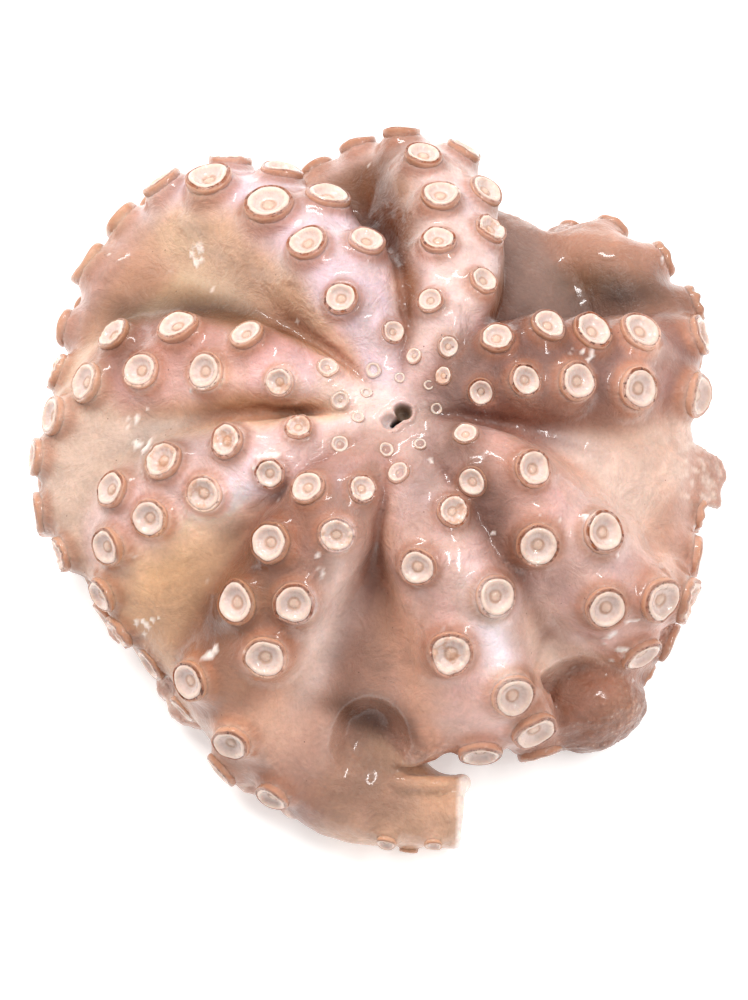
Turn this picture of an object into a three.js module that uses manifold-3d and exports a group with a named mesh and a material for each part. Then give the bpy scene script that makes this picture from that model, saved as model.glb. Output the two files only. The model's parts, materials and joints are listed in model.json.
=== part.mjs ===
// A whole octopus set mouth up. Eight arms run out from the mouth over a domed body, roll over its rim and
// curl round below it, one under the next. Webs of skin join them, and the mantle is tucked under the
// middle. Millimetres, +Z up. Shapes are worked out round the mouth's axis. The finished solid is then
// moved so that the origin is the middle of its bounding box, on the surface that it rests on.

import * as THREE from 'three';
import Module from 'manifold-3d';
import { LoftGeometry } from 'three/addons/geometries/LoftGeometry.js';
import { mergeVertices } from 'three/addons/utils/BufferGeometryUtils.js';

const wasm = await Module();
wasm.setup();

// ---- Driving dimensions ----

// The dome that the crests of the arms follow.
const RIM_HEIGHT = 33; // the widest level, where the arms roll over
const CREST_RISE = 51; // the crests' highest level, above the rim's

// The web and flesh between the arms, which also fill the middle.
const WEB_RISE = 39.5; // the web's highest level, above the rim's
const BELLY_HEIGHT = 13; // the underside of the filled middle

// The mantle, a flattened sac: its half sizes, and how far it would reach below the table if it weren't
// flattened.
const MANTLE_HALF = new THREE.Vector3(52, 60, 30);
const MANTLE_MIDDLE = new THREE.Vector2(-4, -6);
const MANTLE_FLATTENED = 4;

const MOUTH_RADIUS = 3.4;
const MOUTH_DEPTH = 20;
const MOUTH_DIP = 8; // how far the arms' crests sink towards the mouth

const ARM_SIDES = 10;
const ARM_SECTIONS = 19;
const TAIL_ROLL = -18; // how far the suckers of a whole tail are rolled towards the table, in degrees
const ROW_ANGLE = 26; // each row of suckers stands this far to the side of the arm's lean, in degrees
const ROOT_SHARE = 0.34; // an arm's girth where it leaves the mouth, as a share of its thickest

// Each arm, anticlockwise seen from above, starting with the one that points to +X.
// bearings: the way that it points near the mouth, half way out and at the rim, in degrees from +X.
// reach, girth: from the mouth's axis to its outer face at the rim, and its thickest radius.
// lean: how far its suckers are rolled over anticlockwise, in degrees.
// wrap: how far its tail turns round the body below the rim, in degrees.
// tailReach, tailLift: the outer face and the middle's height of the tail where it leaves the rim.
// tipReach, tipGirth: the outer face and the radius of the tail's end.
// cup: the largest sucker's radius.
// firstSide, suckers: distances from the mouth's axis over the dome. The first stands on the side
// given (1 is anticlockwise), and the rest change sides in turn.
// severed: whether the tail is cut off flat, so that its suckers stay large.
// webReach, webDrop: how far the web to the next arm anticlockwise reaches, and how far it sags.
const ARMS = [
  {
    bearings: [46, 22, 19], reach: 113, girth: 20, lean: -12,
    wrap: 66, tailReach: 117, tailLift: 34, tipReach: 66, tipGirth: 5,
    cup: 7.6, firstSide: -1, suckers: [12, 19, 28, 39, 45, 56, 63, 71, 83, 88, 104],
    severed: false, webReach: 100, webDrop: 26,
  },
  {
    bearings: [57, 70, 87], reach: 119, girth: 19, lean: 0,
    wrap: 90, tailReach: 106, tailLift: 26, tipReach: 70, tipGirth: 5,
    cup: 6.9, firstSide: -1, suckers: [13, 20, 27, 40, 52, 64, 73, 84, 89, 101, 108],
    severed: false, webReach: 98, webDrop: 12,
  },
  {
    bearings: [104, 113, 130], reach: 131, girth: 21, lean: -3,
    wrap: 70, tailReach: 127, tailLift: 31, tipReach: 68, tipGirth: 5,
    cup: 8.2, firstSide: -1, suckers: [12, 17, 27, 43, 59, 67, 82, 91, 101, 113, 122],
    severed: false, webReach: 115, webDrop: 3,
  },
  {
    bearings: [158, 159, 167], reach: 114, girth: 16.5, lean: 6,
    wrap: 84, tailReach: 115, tailLift: 24, tipReach: 64, tipGirth: 4.5,
    cup: 7.2, firstSide: -1, suckers: [13, 20, 28, 41, 57, 68, 81, 91, 102, 109],
    severed: false, webReach: 127, webDrop: 2,
  },
  {
    bearings: [209, 197, 199], reach: 113, girth: 16.5, lean: 5,
    wrap: 84, tailReach: 107, tailLift: 20, tipReach: 64, tipGirth: 4.5,
    cup: 6.8, firstSide: -1, suckers: [14, 23, 35, 48, 59, 71, 80, 91, 98, 107],
    severed: false, webReach: 111, webDrop: 1,
  },
  {
    bearings: [236, 236, 237], reach: 118, girth: 18.5, lean: 0,
    wrap: 43, tailReach: 128, tailLift: 17, tipReach: 139, tipGirth: 12.5,
    cup: 7.4, firstSide: 1, suckers: [14, 23, 32, 42, 50, 63, 75, 84, 96, 105, 113],
    severed: true, webReach: 117, webDrop: 15,
  },
  {
    bearings: [272, 287, 286], reach: 110, girth: 22, lean: 0,
    wrap: 84, tailReach: 114, tailLift: 22, tipReach: 70, tipGirth: 6,
    cup: 8.2, firstSide: 1, suckers: [13, 22, 42, 54, 71, 84, 101],
    severed: false, webReach: 94, webDrop: 8,
  },
  {
    bearings: [331, 325, 324], reach: 114, girth: 21, lean: -8,
    wrap: 84, tailReach: 102, tailLift: 26, tipReach: 62, tipGirth: 5,
    cup: 7.8, firstSide: -1, suckers: [14, 24, 36, 49, 66, 79, 95, 106, 114],
    severed: false, webReach: 104, webDrop: 1,
  },
];

const SKIN = new THREE.MeshStandardMaterial({ color: 0xcba48f, roughness: 0.4, metalness: 0 });

// ---- Small helpers ----

const radians = THREE.MathUtils.degToRad;
const { lerp, smoothstep } = THREE.MathUtils;

// A point from its distance to the mouth's axis, its bearing in degrees and its height.
function polar(distance, bearing, height) {
  const turn = radians(bearing);
  return new THREE.Vector3(distance * Math.cos(turn), distance * Math.sin(turn), height);
}

// A closed geometry as a solid that can be joined and cut.
function solidOf(geometry) {
  const bare = new THREE.BufferGeometry().setIndex(geometry.index);
  bare.setAttribute('position', geometry.attributes.position);
  const merged = mergeVertices(bare, 1e-3);
  return new wasm.Manifold(new wasm.Mesh({
    numProp: 3,
    vertProperties: merged.attributes.position.array,
    triVerts: new Uint32Array(merged.index.array),
  }));
}

// ---- Arms ----

// Where the arms' stations lie: degrees away from straight up over the dome, then shares of the tail's
// wrap.
const CLIMBS = [2, 20, 40, 59, 75];
const TURNS = [0.08, 0.22, 0.36, 0.52, 0.68, 0.84, 1];
const STATIONS = CLIMBS.length + TURNS.length - 1;

// An arm's radius at a share of its length: it swells from the mouth and tapers along the tail.
function girthAt(arm, share) {
  const swell = lerp(ROOT_SHARE, 1, smoothstep(share, 0, 0.24));
  return lerp(arm.girth * swell, arm.tipGirth, smoothstep(share, 0.34, 1));
}

// The way that an arm points, at a share of its reach: a curve through its three bearings.
function bearingAt(arm, out) {
  const [root, middle, rim] = arm.bearings;
  return lerp(lerp(root, middle, out * 2), lerp(middle, rim, out * 2 - 1), out);
}

// The line through an arm's middle: out over the dome, over its rim, and round below it as the tail.
function routeOf(arm) {
  const over = CLIMBS.map((climb, i) => {
    const girth = girthAt(arm, i / STATIONS);
    const out = Math.sin(radians(climb));
    const dip = MOUTH_DIP * (1 - smoothstep(out, 0, 0.3));
    const height = RIM_HEIGHT + (CREST_RISE - girth) * Math.cos(radians(climb)) - dip;
    return polar((arm.reach - girth) * out, bearingAt(arm, out), height);
  });
  const tail = TURNS.map((turn, i) => {
    const girth = girthAt(arm, (CLIMBS.length + i) / STATIONS);
    const face = turn < 0.3
      ? lerp(arm.reach, arm.tailReach, turn / 0.3)
      : lerp(arm.tailReach, arm.tipReach, smoothstep(turn, 0.3, 1.15));
    const height = turn < 0.3
      ? lerp(RIM_HEIGHT, arm.tailLift, turn / 0.3)
      : lerp(arm.tailLift, girth, smoothstep(turn, 0.3, 0.75));
    return polar(face - girth, arm.bearings[2] + arm.wrap * turn, height);
  });
  return new THREE.CatmullRomCurve3([...over, ...tail], false, 'centripetal');
}

// The frame across an arm at a share of its length. The crest points away from the dome's middle.
function frameAt(route, share) {
  const middle = route.getPointAt(share);
  const along = route.getTangentAt(share);
  const crest = middle.clone().setZ(middle.z - RIM_HEIGHT / 2);
  crest.addScaledVector(along, -crest.dot(along)).normalize();
  const side = new THREE.Vector3().crossVectors(crest, along);
  return { middle, along, crest, side };
}

// A point or direction across an arm, turned from its crest towards its side.
function across({ crest, side }, turn, length) {
  const towardsCrest = crest.clone().multiplyScalar(Math.cos(turn) * length);
  return towardsCrest.addScaledVector(side, Math.sin(turn) * length);
}

// One arm, as round sections lofted along its route.
function armSolid(arm, route) {
  const sections = [];
  for (let i = 0; i <= ARM_SECTIONS; i++) {
    const share = i / ARM_SECTIONS;
    const frame = frameAt(route, share);
    const section = [];
    for (let j = 0; j < ARM_SIDES; j++) {
      const turn = -2 * Math.PI * (j / ARM_SIDES);
      section.push(across(frame, turn, girthAt(arm, share)).add(frame.middle));
    }
    sections.push(section);
  }
  return solidOf(new LoftGeometry(sections, { capStart: true, capEnd: true }));
}

// ---- Suckers ----

const SMALLEST_CUP = 4.8; // smaller suckers are left to the surface's finish
const CUP_SIDES = 7;
const TAIL_SPACING = 2.6; // from one sucker to the next along the tail, in sucker radii

// A sucker's radius at a share of the arm's length: small by the mouth and again along the tail.
function cupAt(arm, share) {
  const grown = Math.min(1, 1.1 * (1 - Math.exp(-share / 0.13)));
  return arm.cup * grown * lerp(1, arm.severed ? 0.45 : 0.25, smoothstep(share, 0.55, 0.95));
}

// The point on an arm's surface at a share of its length, turned from the crest towards its side.
function surfacePoint(arm, route, share, turn, above) {
  const frame = frameAt(route, share);
  return across(frame, turn, girthAt(arm, share) + above).add(frame.middle);
}

// The shares of an arm's length at which its suckers stand, over the dome and on along the tail.
function suckerShares(arm, route) {
  const shares = [];
  let share = 0;
  for (const distance of arm.suckers) {
    const crestDistance = () => {
      const { x, y } = surfacePoint(arm, route, share, 0, 0);
      return Math.hypot(x, y);
    };
    while (crestDistance() < distance && share < 0.42) share += 0.004;
    shares.push(share);
  }
  const length = route.getLength();
  while (cupAt(arm, share) > SMALLEST_CUP && share < 0.9) {
    share += (TAIL_SPACING * cupAt(arm, share)) / length;
    shares.push(share);
  }
  return shares;
}

// One sucker: a stalk that widens to a rim round a shallow cup, standing along +Y from inside the arm's
// surface.
function suckerSolid(radius) {
  const outline = [
    [0, -radius],
    [radius * 1.1, -radius * 0.8],
    [radius * 0.96, radius * 0.36],
    [0, radius * 0.14],
  ];
  return new THREE.LatheGeometry(outline.map(([x, y]) => new THREE.Vector2(x, y)), CUP_SIDES);
}

// The suckers along one arm, in two rows that step in turn from side to side. Those that would overlap
// one that is seated already are left out, and each new one's place is added to the seated ones.
function suckersOf(arm, route, seated) {
  const suckers = [];
  const up = new THREE.Vector3(0, 1, 0);
  suckerShares(arm, route).forEach((share, i) => {
    const radius = cupAt(arm, share);
    if (radius < SMALLEST_CUP) return;
    const side = i % 2 ? -arm.firstSide : arm.firstSide;
    const roll = arm.severed ? 0 : TAIL_ROLL * smoothstep(share, 0.42, 0.58);
    const turn = radians(arm.lean + roll + side * ROW_ANGLE);
    const foot = surfacePoint(arm, route, share, turn, radius * 0.1);
    if (seated.some((other) => other.foot.distanceTo(foot) < 0.8 * (radius + other.radius))) return;
    seated.push({ foot, radius });
    const facingTurn = radians(arm.lean + roll + side * ROW_ANGLE * 0.6);
    const stands = across(frameAt(route, share), facingTurn, 1);
    const facing = new THREE.Quaternion().setFromUnitVectors(up, stands);
    const placed = new THREE.Matrix4().makeRotationFromQuaternion(facing).setPosition(foot);
    suckers.push(solidOf(suckerSolid(radius).applyMatrix4(placed)));
  });
  return suckers;
}

// ---- Body ----

// A smooth average of what the gaps between arms give, weighted by how near a bearing is to each gap.
function betweenArms(bearing, valueOf) {
  let total = 0;
  let weights = 0;
  ARMS.forEach((arm, i) => {
    const next = ARMS[(i + 1) % ARMS.length];
    const [, , rim] = arm.bearings;
    const ahead = THREE.MathUtils.euclideanModulo(next.bearings[2] - rim, 360);
    const away = radians(bearing - (rim + ahead / 2));
    const weight = Math.exp(12 * (Math.cos(away) - 1));
    total += weight * valueOf(arm);
    weights += weight;
  });
  return total / weights;
}

// The web and the filled middle: a flattened ball whose reach and level follow the gap between the arms.
function webSolid() {
  const ball = new THREE.SphereGeometry(1, 32, 12).rotateX(Math.PI / 2);
  const place = ball.attributes.position;
  for (let i = 0; i < place.count; i++) {
    const unit = new THREE.Vector3().fromBufferAttribute(place, i);
    const bearing = THREE.MathUtils.radToDeg(Math.atan2(unit.y, unit.x));
    const reach = betweenArms(bearing, (arm) => arm.webReach);
    const drop = betweenArms(bearing, (arm) => arm.webDrop) * Math.hypot(unit.x, unit.y);
    const height = unit.z > 0 ? unit.z * (WEB_RISE - drop) : unit.z * (RIM_HEIGHT - BELLY_HEIGHT);
    place.setXYZ(i, unit.x * reach, unit.y * reach, RIM_HEIGHT + height);
  }
  return solidOf(ball);
}

// The mantle, a flattened ball under the middle.
function mantleSolid() {
  const ball = new THREE.SphereGeometry(1, 18, 10).rotateX(Math.PI / 2);
  ball.scale(MANTLE_HALF.x, MANTLE_HALF.y, MANTLE_HALF.z);
  ball.translate(MANTLE_MIDDLE.x, MANTLE_MIDDLE.y, MANTLE_HALF.z - MANTLE_FLATTENED);
  return solidOf(ball);
}

// What is cut away for the mouth: a short throat under a flared opening.
function mouthCut() {
  const top = RIM_HEIGHT + WEB_RISE;
  const outline = [
    [0, top - MOUTH_DEPTH],
    [MOUTH_RADIUS, top - MOUTH_DEPTH],
    [MOUTH_RADIUS, top - 3],
    [MOUTH_RADIUS * 2, top + 3],
    [0, top + 3],
  ];
  const funnel = new THREE.LatheGeometry(outline.map(([x, y]) => new THREE.Vector2(x, y)), 12);
  return solidOf(funnel.rotateX(Math.PI / 2));
}

// What is cut away below the surface that the octopus lies on.
function tableCut() {
  const span = 400;
  return solidOf(new THREE.BoxGeometry(span, span, span).translate(0, 0, -span / 2));
}

// The whole animal as one solid, without any hollow that is sealed inside it.
function octopusSolid() {
  let body = webSolid().add(mantleSolid());
  const seated = [];
  for (const arm of ARMS) {
    const route = routeOf(arm);
    body = body.add(armSolid(arm, route));
    for (const sucker of suckersOf(arm, route, seated)) body = body.add(sucker);
  }
  body = body.subtract(mouthCut()).subtract(tableCut());
  const shells = body.decompose();
  return shells.reduce((widest, shell) => (shell.volume() > widest.volume() ? shell : widest));
}

// The solid's triangles as a geometry.
function geometryOf(solid) {
  const { vertProperties, triVerts } = solid.getMesh();
  const geometry = new THREE.BufferGeometry();
  geometry.setAttribute('position', new THREE.BufferAttribute(vertProperties, 3));
  geometry.setIndex(new THREE.BufferAttribute(triVerts, 1));
  geometry.computeVertexNormals();
  return geometry;
}

// ---- The part ----

const octopus = new THREE.Mesh(geometryOf(octopusSolid()), SKIN);
octopus.name = 'octopus';
octopus.geometry.computeBoundingBox();
const { min, max } = octopus.geometry.boundingBox;
octopus.position.set(-(min.x + max.x) / 2, -(min.y + max.y) / 2, -min.z);

const part = new THREE.Group();
part.add(octopus);

export default part;
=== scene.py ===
"""Looks of a whole cooked octopus that lies mouth up: one body with webs, arms and mantle, and its cups.

Shapes are worked out in millimetres round the mouth's axis, with +Z up, and are carried into the row frame at
the end.
"""

from __future__ import annotations

import json
import logging
import math
from dataclasses import dataclass, field
from enum import Enum
from typing import Any, Sequence

import bmesh
import bpy
import numpy as np
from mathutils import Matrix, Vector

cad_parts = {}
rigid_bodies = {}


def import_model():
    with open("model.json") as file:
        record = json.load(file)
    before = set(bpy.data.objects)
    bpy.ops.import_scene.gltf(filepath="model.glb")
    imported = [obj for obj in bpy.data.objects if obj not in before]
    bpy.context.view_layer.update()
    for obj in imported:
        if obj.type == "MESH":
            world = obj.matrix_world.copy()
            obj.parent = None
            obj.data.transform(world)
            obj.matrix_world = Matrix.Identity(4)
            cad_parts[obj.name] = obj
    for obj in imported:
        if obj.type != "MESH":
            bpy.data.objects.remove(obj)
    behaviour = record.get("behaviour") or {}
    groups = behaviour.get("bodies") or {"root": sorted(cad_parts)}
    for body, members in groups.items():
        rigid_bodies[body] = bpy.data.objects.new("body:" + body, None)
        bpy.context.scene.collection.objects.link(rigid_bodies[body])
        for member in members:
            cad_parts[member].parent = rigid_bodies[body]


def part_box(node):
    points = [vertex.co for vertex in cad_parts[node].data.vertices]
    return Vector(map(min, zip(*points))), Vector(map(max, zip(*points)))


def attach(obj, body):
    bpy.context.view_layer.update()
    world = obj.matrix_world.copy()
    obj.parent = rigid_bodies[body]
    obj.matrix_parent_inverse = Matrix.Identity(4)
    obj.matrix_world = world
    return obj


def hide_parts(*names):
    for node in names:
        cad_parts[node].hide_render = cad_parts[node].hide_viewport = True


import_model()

import openvdb
from mathutils import Vector

Array = np.ndarray
Colour = tuple[float, float, float]
log = logging.getLogger("octopus")


# --------------------------------------------------------------------------------------------------
# Numbers and noise
# --------------------------------------------------------------------------------------------------


def pigment(red: int, green: int, blue: int) -> Colour:
    """Turns a paint-chart colour, 0 to 255 a channel, into linear light."""

    def channel(level: int) -> float:
        share = level / 255
        return share / 12.92 if share <= 0.04045 else ((share + 0.055) / 1.055) ** 2.4

    return channel(red), channel(green), channel(blue)


def ease(value: Any, low: float, high: float) -> Any:
    """Goes smoothly from 0 at low to 1 at high: the cubic 3t^2 - 2t^3 of the clipped share t."""
    share = np.clip((value - low) / (high - low), 0, 1)
    return share * share * (3 - 2 * share)


def between(low: Any, high: Any, share: Any) -> Any:
    """Mixes two values: low at share 0, high at share 1."""
    return low + (high - low) * share


def unit(vectors: Array) -> Array:
    """Vectors scaled to length 1 along their last axis."""
    return vectors / np.maximum(np.linalg.norm(vectors, axis=-1, keepdims=True), 1e-9)


def soft_join(one: Array, other: Array, blend: Any) -> Array:
    """Joins two distance fields with a fillet: the smaller one, less a quarter of blend where they meet."""
    share = np.clip(0.5 + 0.5 * (other - one) / blend, 0, 1)
    return other + (one - other) * share - blend * share * (1 - share)


def lay(tint: Array | float, colour: Colour, share: Array) -> Array:
    """Lays a colour over tints, with one share for each point."""
    return between(tint, np.array(colour), share[:, None])


def ellipsoid(scaled: Sequence[Array], half: Sequence[Any]) -> Array:
    """Estimates the distance to an ellipsoid.

    Formula: k0 (k0 - 1) / k1, where k0 is the length of the point over the half sizes, and k1 the length of
    the point divided by them twice.

    Args:
        scaled: the points' offsets from the middle over the half sizes, one array for each axis.
        half: the half sizes.

    Returns:
        Millimetres to the surface, negative inside.
    """
    k0 = np.sqrt(sum(part**2 for part in scaled))
    k1 = np.sqrt(sum((part / size) ** 2 for part, size in zip(scaled, half)))
    return k0 * (k0 - 1) / np.maximum(k1, 1e-5)


def ahead_of(grids: Sequence[Array], origin: Array, direction: Array) -> Array:
    """How far grid points lie from an origin in a direction: the sum of offset times direction, by axis."""
    return sum((grid - start) * part for grid, start, part in zip(grids, origin, direction))


def lumps(points: Array, wavelength: float, seed: int) -> Array:
    """Smooth seeded noise from -1 to 1.

    Formula: a random number stands at each corner of a grid of cells, and a point takes the eased average of
    the eight corners round it. The grid repeats after a count of cells.

    Args:
        points: positions, with their coordinates along the last axis.
        wavelength: size of a cell.
        seed: picks the random numbers.

    Returns:
        One number for each point.
    """
    count, shift = 32, 100.37
    table = np.random.default_rng(seed).uniform(-1, 1, (count, count, count)).astype(np.float32)
    cell = points / wavelength + shift
    corner = np.floor(cell).astype(np.int32)
    share = (cell - corner).astype(np.float32)
    share = share * share * (3 - 2 * share)
    total = np.zeros(points.shape[:-1], np.float32)
    for offset in np.ndindex(2, 2, 2):
        x, y, z = ((corner[..., k] + offset[k]) % count for k in range(3))
        near_x, near_y, near_z = (share[..., k] if offset[k] else 1 - share[..., k] for k in range(3))
        total += table[x, y, z] * (near_x * near_y * near_z)
    return total


# --------------------------------------------------------------------------------------------------
# The animal's build
# --------------------------------------------------------------------------------------------------


@dataclass(frozen=True)
class ArmPlan:
    """Sizes and tints of one arm and of the web to the next arm anticlockwise.

    Attributes:
        name: short name.
        bearings: degrees from +X near the mouth, half way out and at the rim.
        reach: from the mouth's axis to the arm's outer face at the rim.
        girth: thickest radius.
        lean: how far the suckers are rolled over anticlockwise, in degrees.
        wrap: how far the tail turns round below the rim, in degrees.
        tail_reach: outer face of the tail where it leaves the rim.
        tail_lift: height of the tail's middle there.
        tip_reach: outer face of the tail's end.
        tip_girth: radius of the tail's end.
        cup: the largest sucker's radius.
        first_side: side of the first sucker, 1 for anticlockwise.
        suckers: distances of the suckers over the dome from the mouth's axis.
        web_reach: how far the web reaches.
        web_drop: how far it sags.
        severed: whether the tail ends in a flat cut.
        crest: tint between the suckers.
        flank: tint of the sides.
        web: tint of the web.
    """

    name: str
    bearings: tuple[float, float, float]
    reach: float
    girth: float
    lean: float
    wrap: float
    tail_reach: float
    tail_lift: float
    tip_reach: float
    tip_girth: float
    cup: float
    first_side: int
    suckers: tuple[float, ...]
    web_reach: float
    web_drop: float
    severed: bool
    crest: Colour
    flank: Colour
    web: Colour


ARMS: tuple[ArmPlan, ...] = (
    ArmPlan("right", (46, 22, 19), 113, 20, -12, 66, 117, 34, 66, 5, 7.6, -1,
            (12, 19, 28, 39, 45, 56, 63, 71, 83, 88, 104),
            100, 26, False, pigment(138, 102, 90), pigment(160, 108, 84), pigment(174, 144, 130)),
    ArmPlan("top", (57, 70, 87), 119, 19, 0, 90, 106, 26, 70, 5, 6.9, -1,
            (13, 20, 27, 40, 52, 64, 73, 84, 89, 101, 108),
            98, 12, False, pigment(240, 217, 209), pigment(140, 92, 58), pigment(140, 94, 70)),
    ArmPlan("top_left", (104, 113, 130), 131, 21, -3, 70, 127, 31, 68, 5, 8.2, -1,
            (12, 17, 27, 43, 59, 67, 82, 91, 101, 113, 122),
            115, 3, False, pigment(232, 214, 218), pigment(236, 196, 164), pigment(244, 216, 184)),
    ArmPlan("left", (158, 159, 167), 114, 16.5, 6, 84, 115, 24, 64, 4.5, 7.2, -1,
            (13, 20, 28, 41, 57, 68, 81, 91, 102, 109),
            127, 2, False, pigment(208, 164, 152), pigment(190, 144, 106), pigment(228, 206, 188)),
    ArmPlan("lower_left", (209, 197, 199), 113, 16.5, 5, 84, 107, 20, 64, 4.5, 6.8, -1,
            (14, 23, 35, 48, 59, 71, 80, 91, 98, 107),
            111, 1, False, pigment(234, 204, 196), pigment(250, 214, 182), pigment(222, 184, 150)),
    ArmPlan("bottom_left", (236, 236, 237), 118, 18.5, 0, 43, 128, 17, 139, 12.5, 7.4, 1,
            (14, 23, 32, 42, 50, 63, 75, 84, 96, 105, 113),
            117, 15, True, pigment(164, 120, 98), pigment(196, 152, 130), pigment(214, 174, 156)),
    ArmPlan("bottom", (272, 287, 286), 110, 22, 0, 84, 114, 22, 70, 6, 8.2, 1,
            (13, 22, 42, 54, 71, 84, 101),
            94, 8, False, pigment(230, 192, 178), pigment(222, 176, 150), pigment(190, 142, 116)),
    ArmPlan("lower_right", (331, 325, 324), 114, 21, -8, 84, 102, 26, 62, 5, 7.8, -1,
            (14, 24, 36, 49, 66, 79, 95, 106, 114),
            104, 1, False, pigment(228, 184, 168), pigment(226, 182, 160), pigment(242, 214, 196)),
)


@dataclass(frozen=True)
class Flap:
    """A thin torn tongue of skin that hangs from the web's edge.

    Attributes:
        bearing: its middle, in degrees.
        spread: half its width, in degrees.
        inner: where it leaves the web, from the mouth's axis.
        outer: how far it reaches.
        height: its height at the inner edge.
        droop: how steeply it hangs.
        ragged: how far its edge wanders.
    """

    bearing: float
    spread: float
    inner: float
    outer: float
    height: float
    droop: float
    ragged: float
    thickness: float = 3.4

    def field(self, x: Array, y: Array, z: Array, seed: int) -> Array:
        """Distance to the tongue.

        Formula: a thin sloping sheet whose reach is a bell about its middle, with seeded notches in its edge.

        Args:
            x: distance to the right of the mouth's axis.
            y: distance behind it.
            z: height.
            seed: picks the notches.

        Returns:
            Millimetres to the surface, negative inside.
        """
        flat = np.maximum(np.hypot(x, y), 1)
        away = (np.degrees(np.arctan2(y, x)) - self.bearing + 180) % 360 - 180
        rim = np.stack([x * 100 / flat, y * 100 / flat, 0 * x], -1)
        edge = between(self.inner, self.outer, 1 - ease(np.abs(away), 0.5 * self.spread, self.spread))
        edge = edge + self.ragged * (lumps(rim, 7, seed) + 0.6 * lumps(rim, 3.5, seed + 1))
        fold = 1.4 * lumps(rim * np.array([1, 1, 0]), 5, seed + 2) * ease(flat, self.inner, self.outer)
        centre = self.height - self.droop * (flat - self.inner) + fold
        sheet = np.abs(z - centre) / math.hypot(1, self.droop) - self.thickness / 2
        sheet = np.maximum(sheet, np.maximum(flat - edge, self.inner - 8 - flat))
        return np.maximum(sheet, np.radians(np.abs(away) - self.spread) * flat)


FLAPS: tuple[Flap, ...] = (
    Flap(356, 8, 92, 115, 46, 0.9, 3.0),
    Flap(174, 9, 106, 118, 38, 1.0, 3.0),
    Flap(187, 8, 114, 130, 36, 1.0, 4.0),
    Flap(212, 16, 102, 117, 34, 1.3, 3.0),
    Flap(229, 9, 106, 117, 28, 1.3, 3.0),
    Flap(252, 13, 116, 127, 24, 1.0, 4.0),
    Flap(318, 8, 102, 112, 30, 1.0, 3.5),
    Flap(307, 12, 98, 110, 17, 1.0, 5.0),
)


@dataclass(frozen=True)
class Pocket:
    """A hollow under the web's edge, and the rounded flesh that shows in it.

    Attributes:
        middle: the hollow's middle.
        half: its half sizes.
        flesh_middle: the flesh's middle.
        flesh_half: its half sizes.
        tint: the flesh's tint.
        soft: how softly the flesh joins the skin round it, in millimetres.
    """

    middle: tuple[float, float, float]
    half: tuple[float, float, float]
    flesh_middle: tuple[float, float, float]
    flesh_half: tuple[float, float, float]
    tint: Colour
    soft: float

    def flesh_share(self, points: Array) -> Array:
        """Distance from the flesh's middle over its half sizes: 1 on its surface."""
        return np.linalg.norm((points - np.array(self.flesh_middle)) / np.array(self.flesh_half), axis=-1)

    def holds(self, point: Array) -> bool:
        """Whether a point is on the flesh in the hollow, or just outside it."""
        return float(self.flesh_share(point)) < 1.12


POCKETS: tuple[Pocket, ...] = (
    Pocket((-10, -114, 45), (15, 21, 16), (-13, -116, 13), (26, 18, 17), pigment(142, 101, 88), 6.0),
    Pocket((64, -92, 43), (20, 16, 16), (65, -85, 16), (21, 18, 20), pigment(138, 88, 66), 2.2),
)


# Heights above which the skin takes stains, painted shade and painted highlights, and flecks, and above which
# points near the mouth's axis belong to the mouth and not to the underside.
STAIN_AND_SHADE_FLOOR = 20.0
FLECK_FLOOR = 24.0
MOUTH_FLOOR = 50.0


@dataclass(frozen=True)
class StainAndShade:
    """A patch of skin that is darker, browner or paler than the skin round it.

    Some are stains of the skin's own colour, some painted shade in hollows, valleys and pockets, and some
    painted highlights on flanks.

    Attributes:
        middle: its place to the right of the mouth's axis and behind it.
        bearing: the way it runs, in degrees.
        half: half its length and half its width.
        factor: what the tint is multiplied by.
    """

    middle: tuple[float, float]
    bearing: float
    half: tuple[float, float]
    factor: Colour

    def strength(self, points: Array, wander: Array) -> Array:
        """How surely points lie in the patch.

        Formula: a bell of the scaled distance from its middle, made uneven by noise, and 0 near the table.

        Args:
            points: positions in millimetres.
            wander: noise from -1 to 1 at the points.

        Returns:
            Shares from 0 to 1.
        """
        x, y = points[:, 0] - self.middle[0], points[:, 1] - self.middle[1]
        turn = math.radians(self.bearing)
        onward = x * math.cos(turn) + y * math.sin(turn)
        aside = y * math.cos(turn) - x * math.sin(turn)
        scaled = np.hypot(onward / self.half[0], aside / self.half[1]) + 0.3 * wander
        return np.exp(-np.maximum(scaled, 0) ** 2) * (points[:, 2] > STAIN_AND_SHADE_FLOOR)


# Stains of the skin's own colour, painted shade in hollows, valleys and pockets, and painted highlights on
# flanks. Rows with a note above them are painted shade or painted highlights, as the note says.
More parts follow.
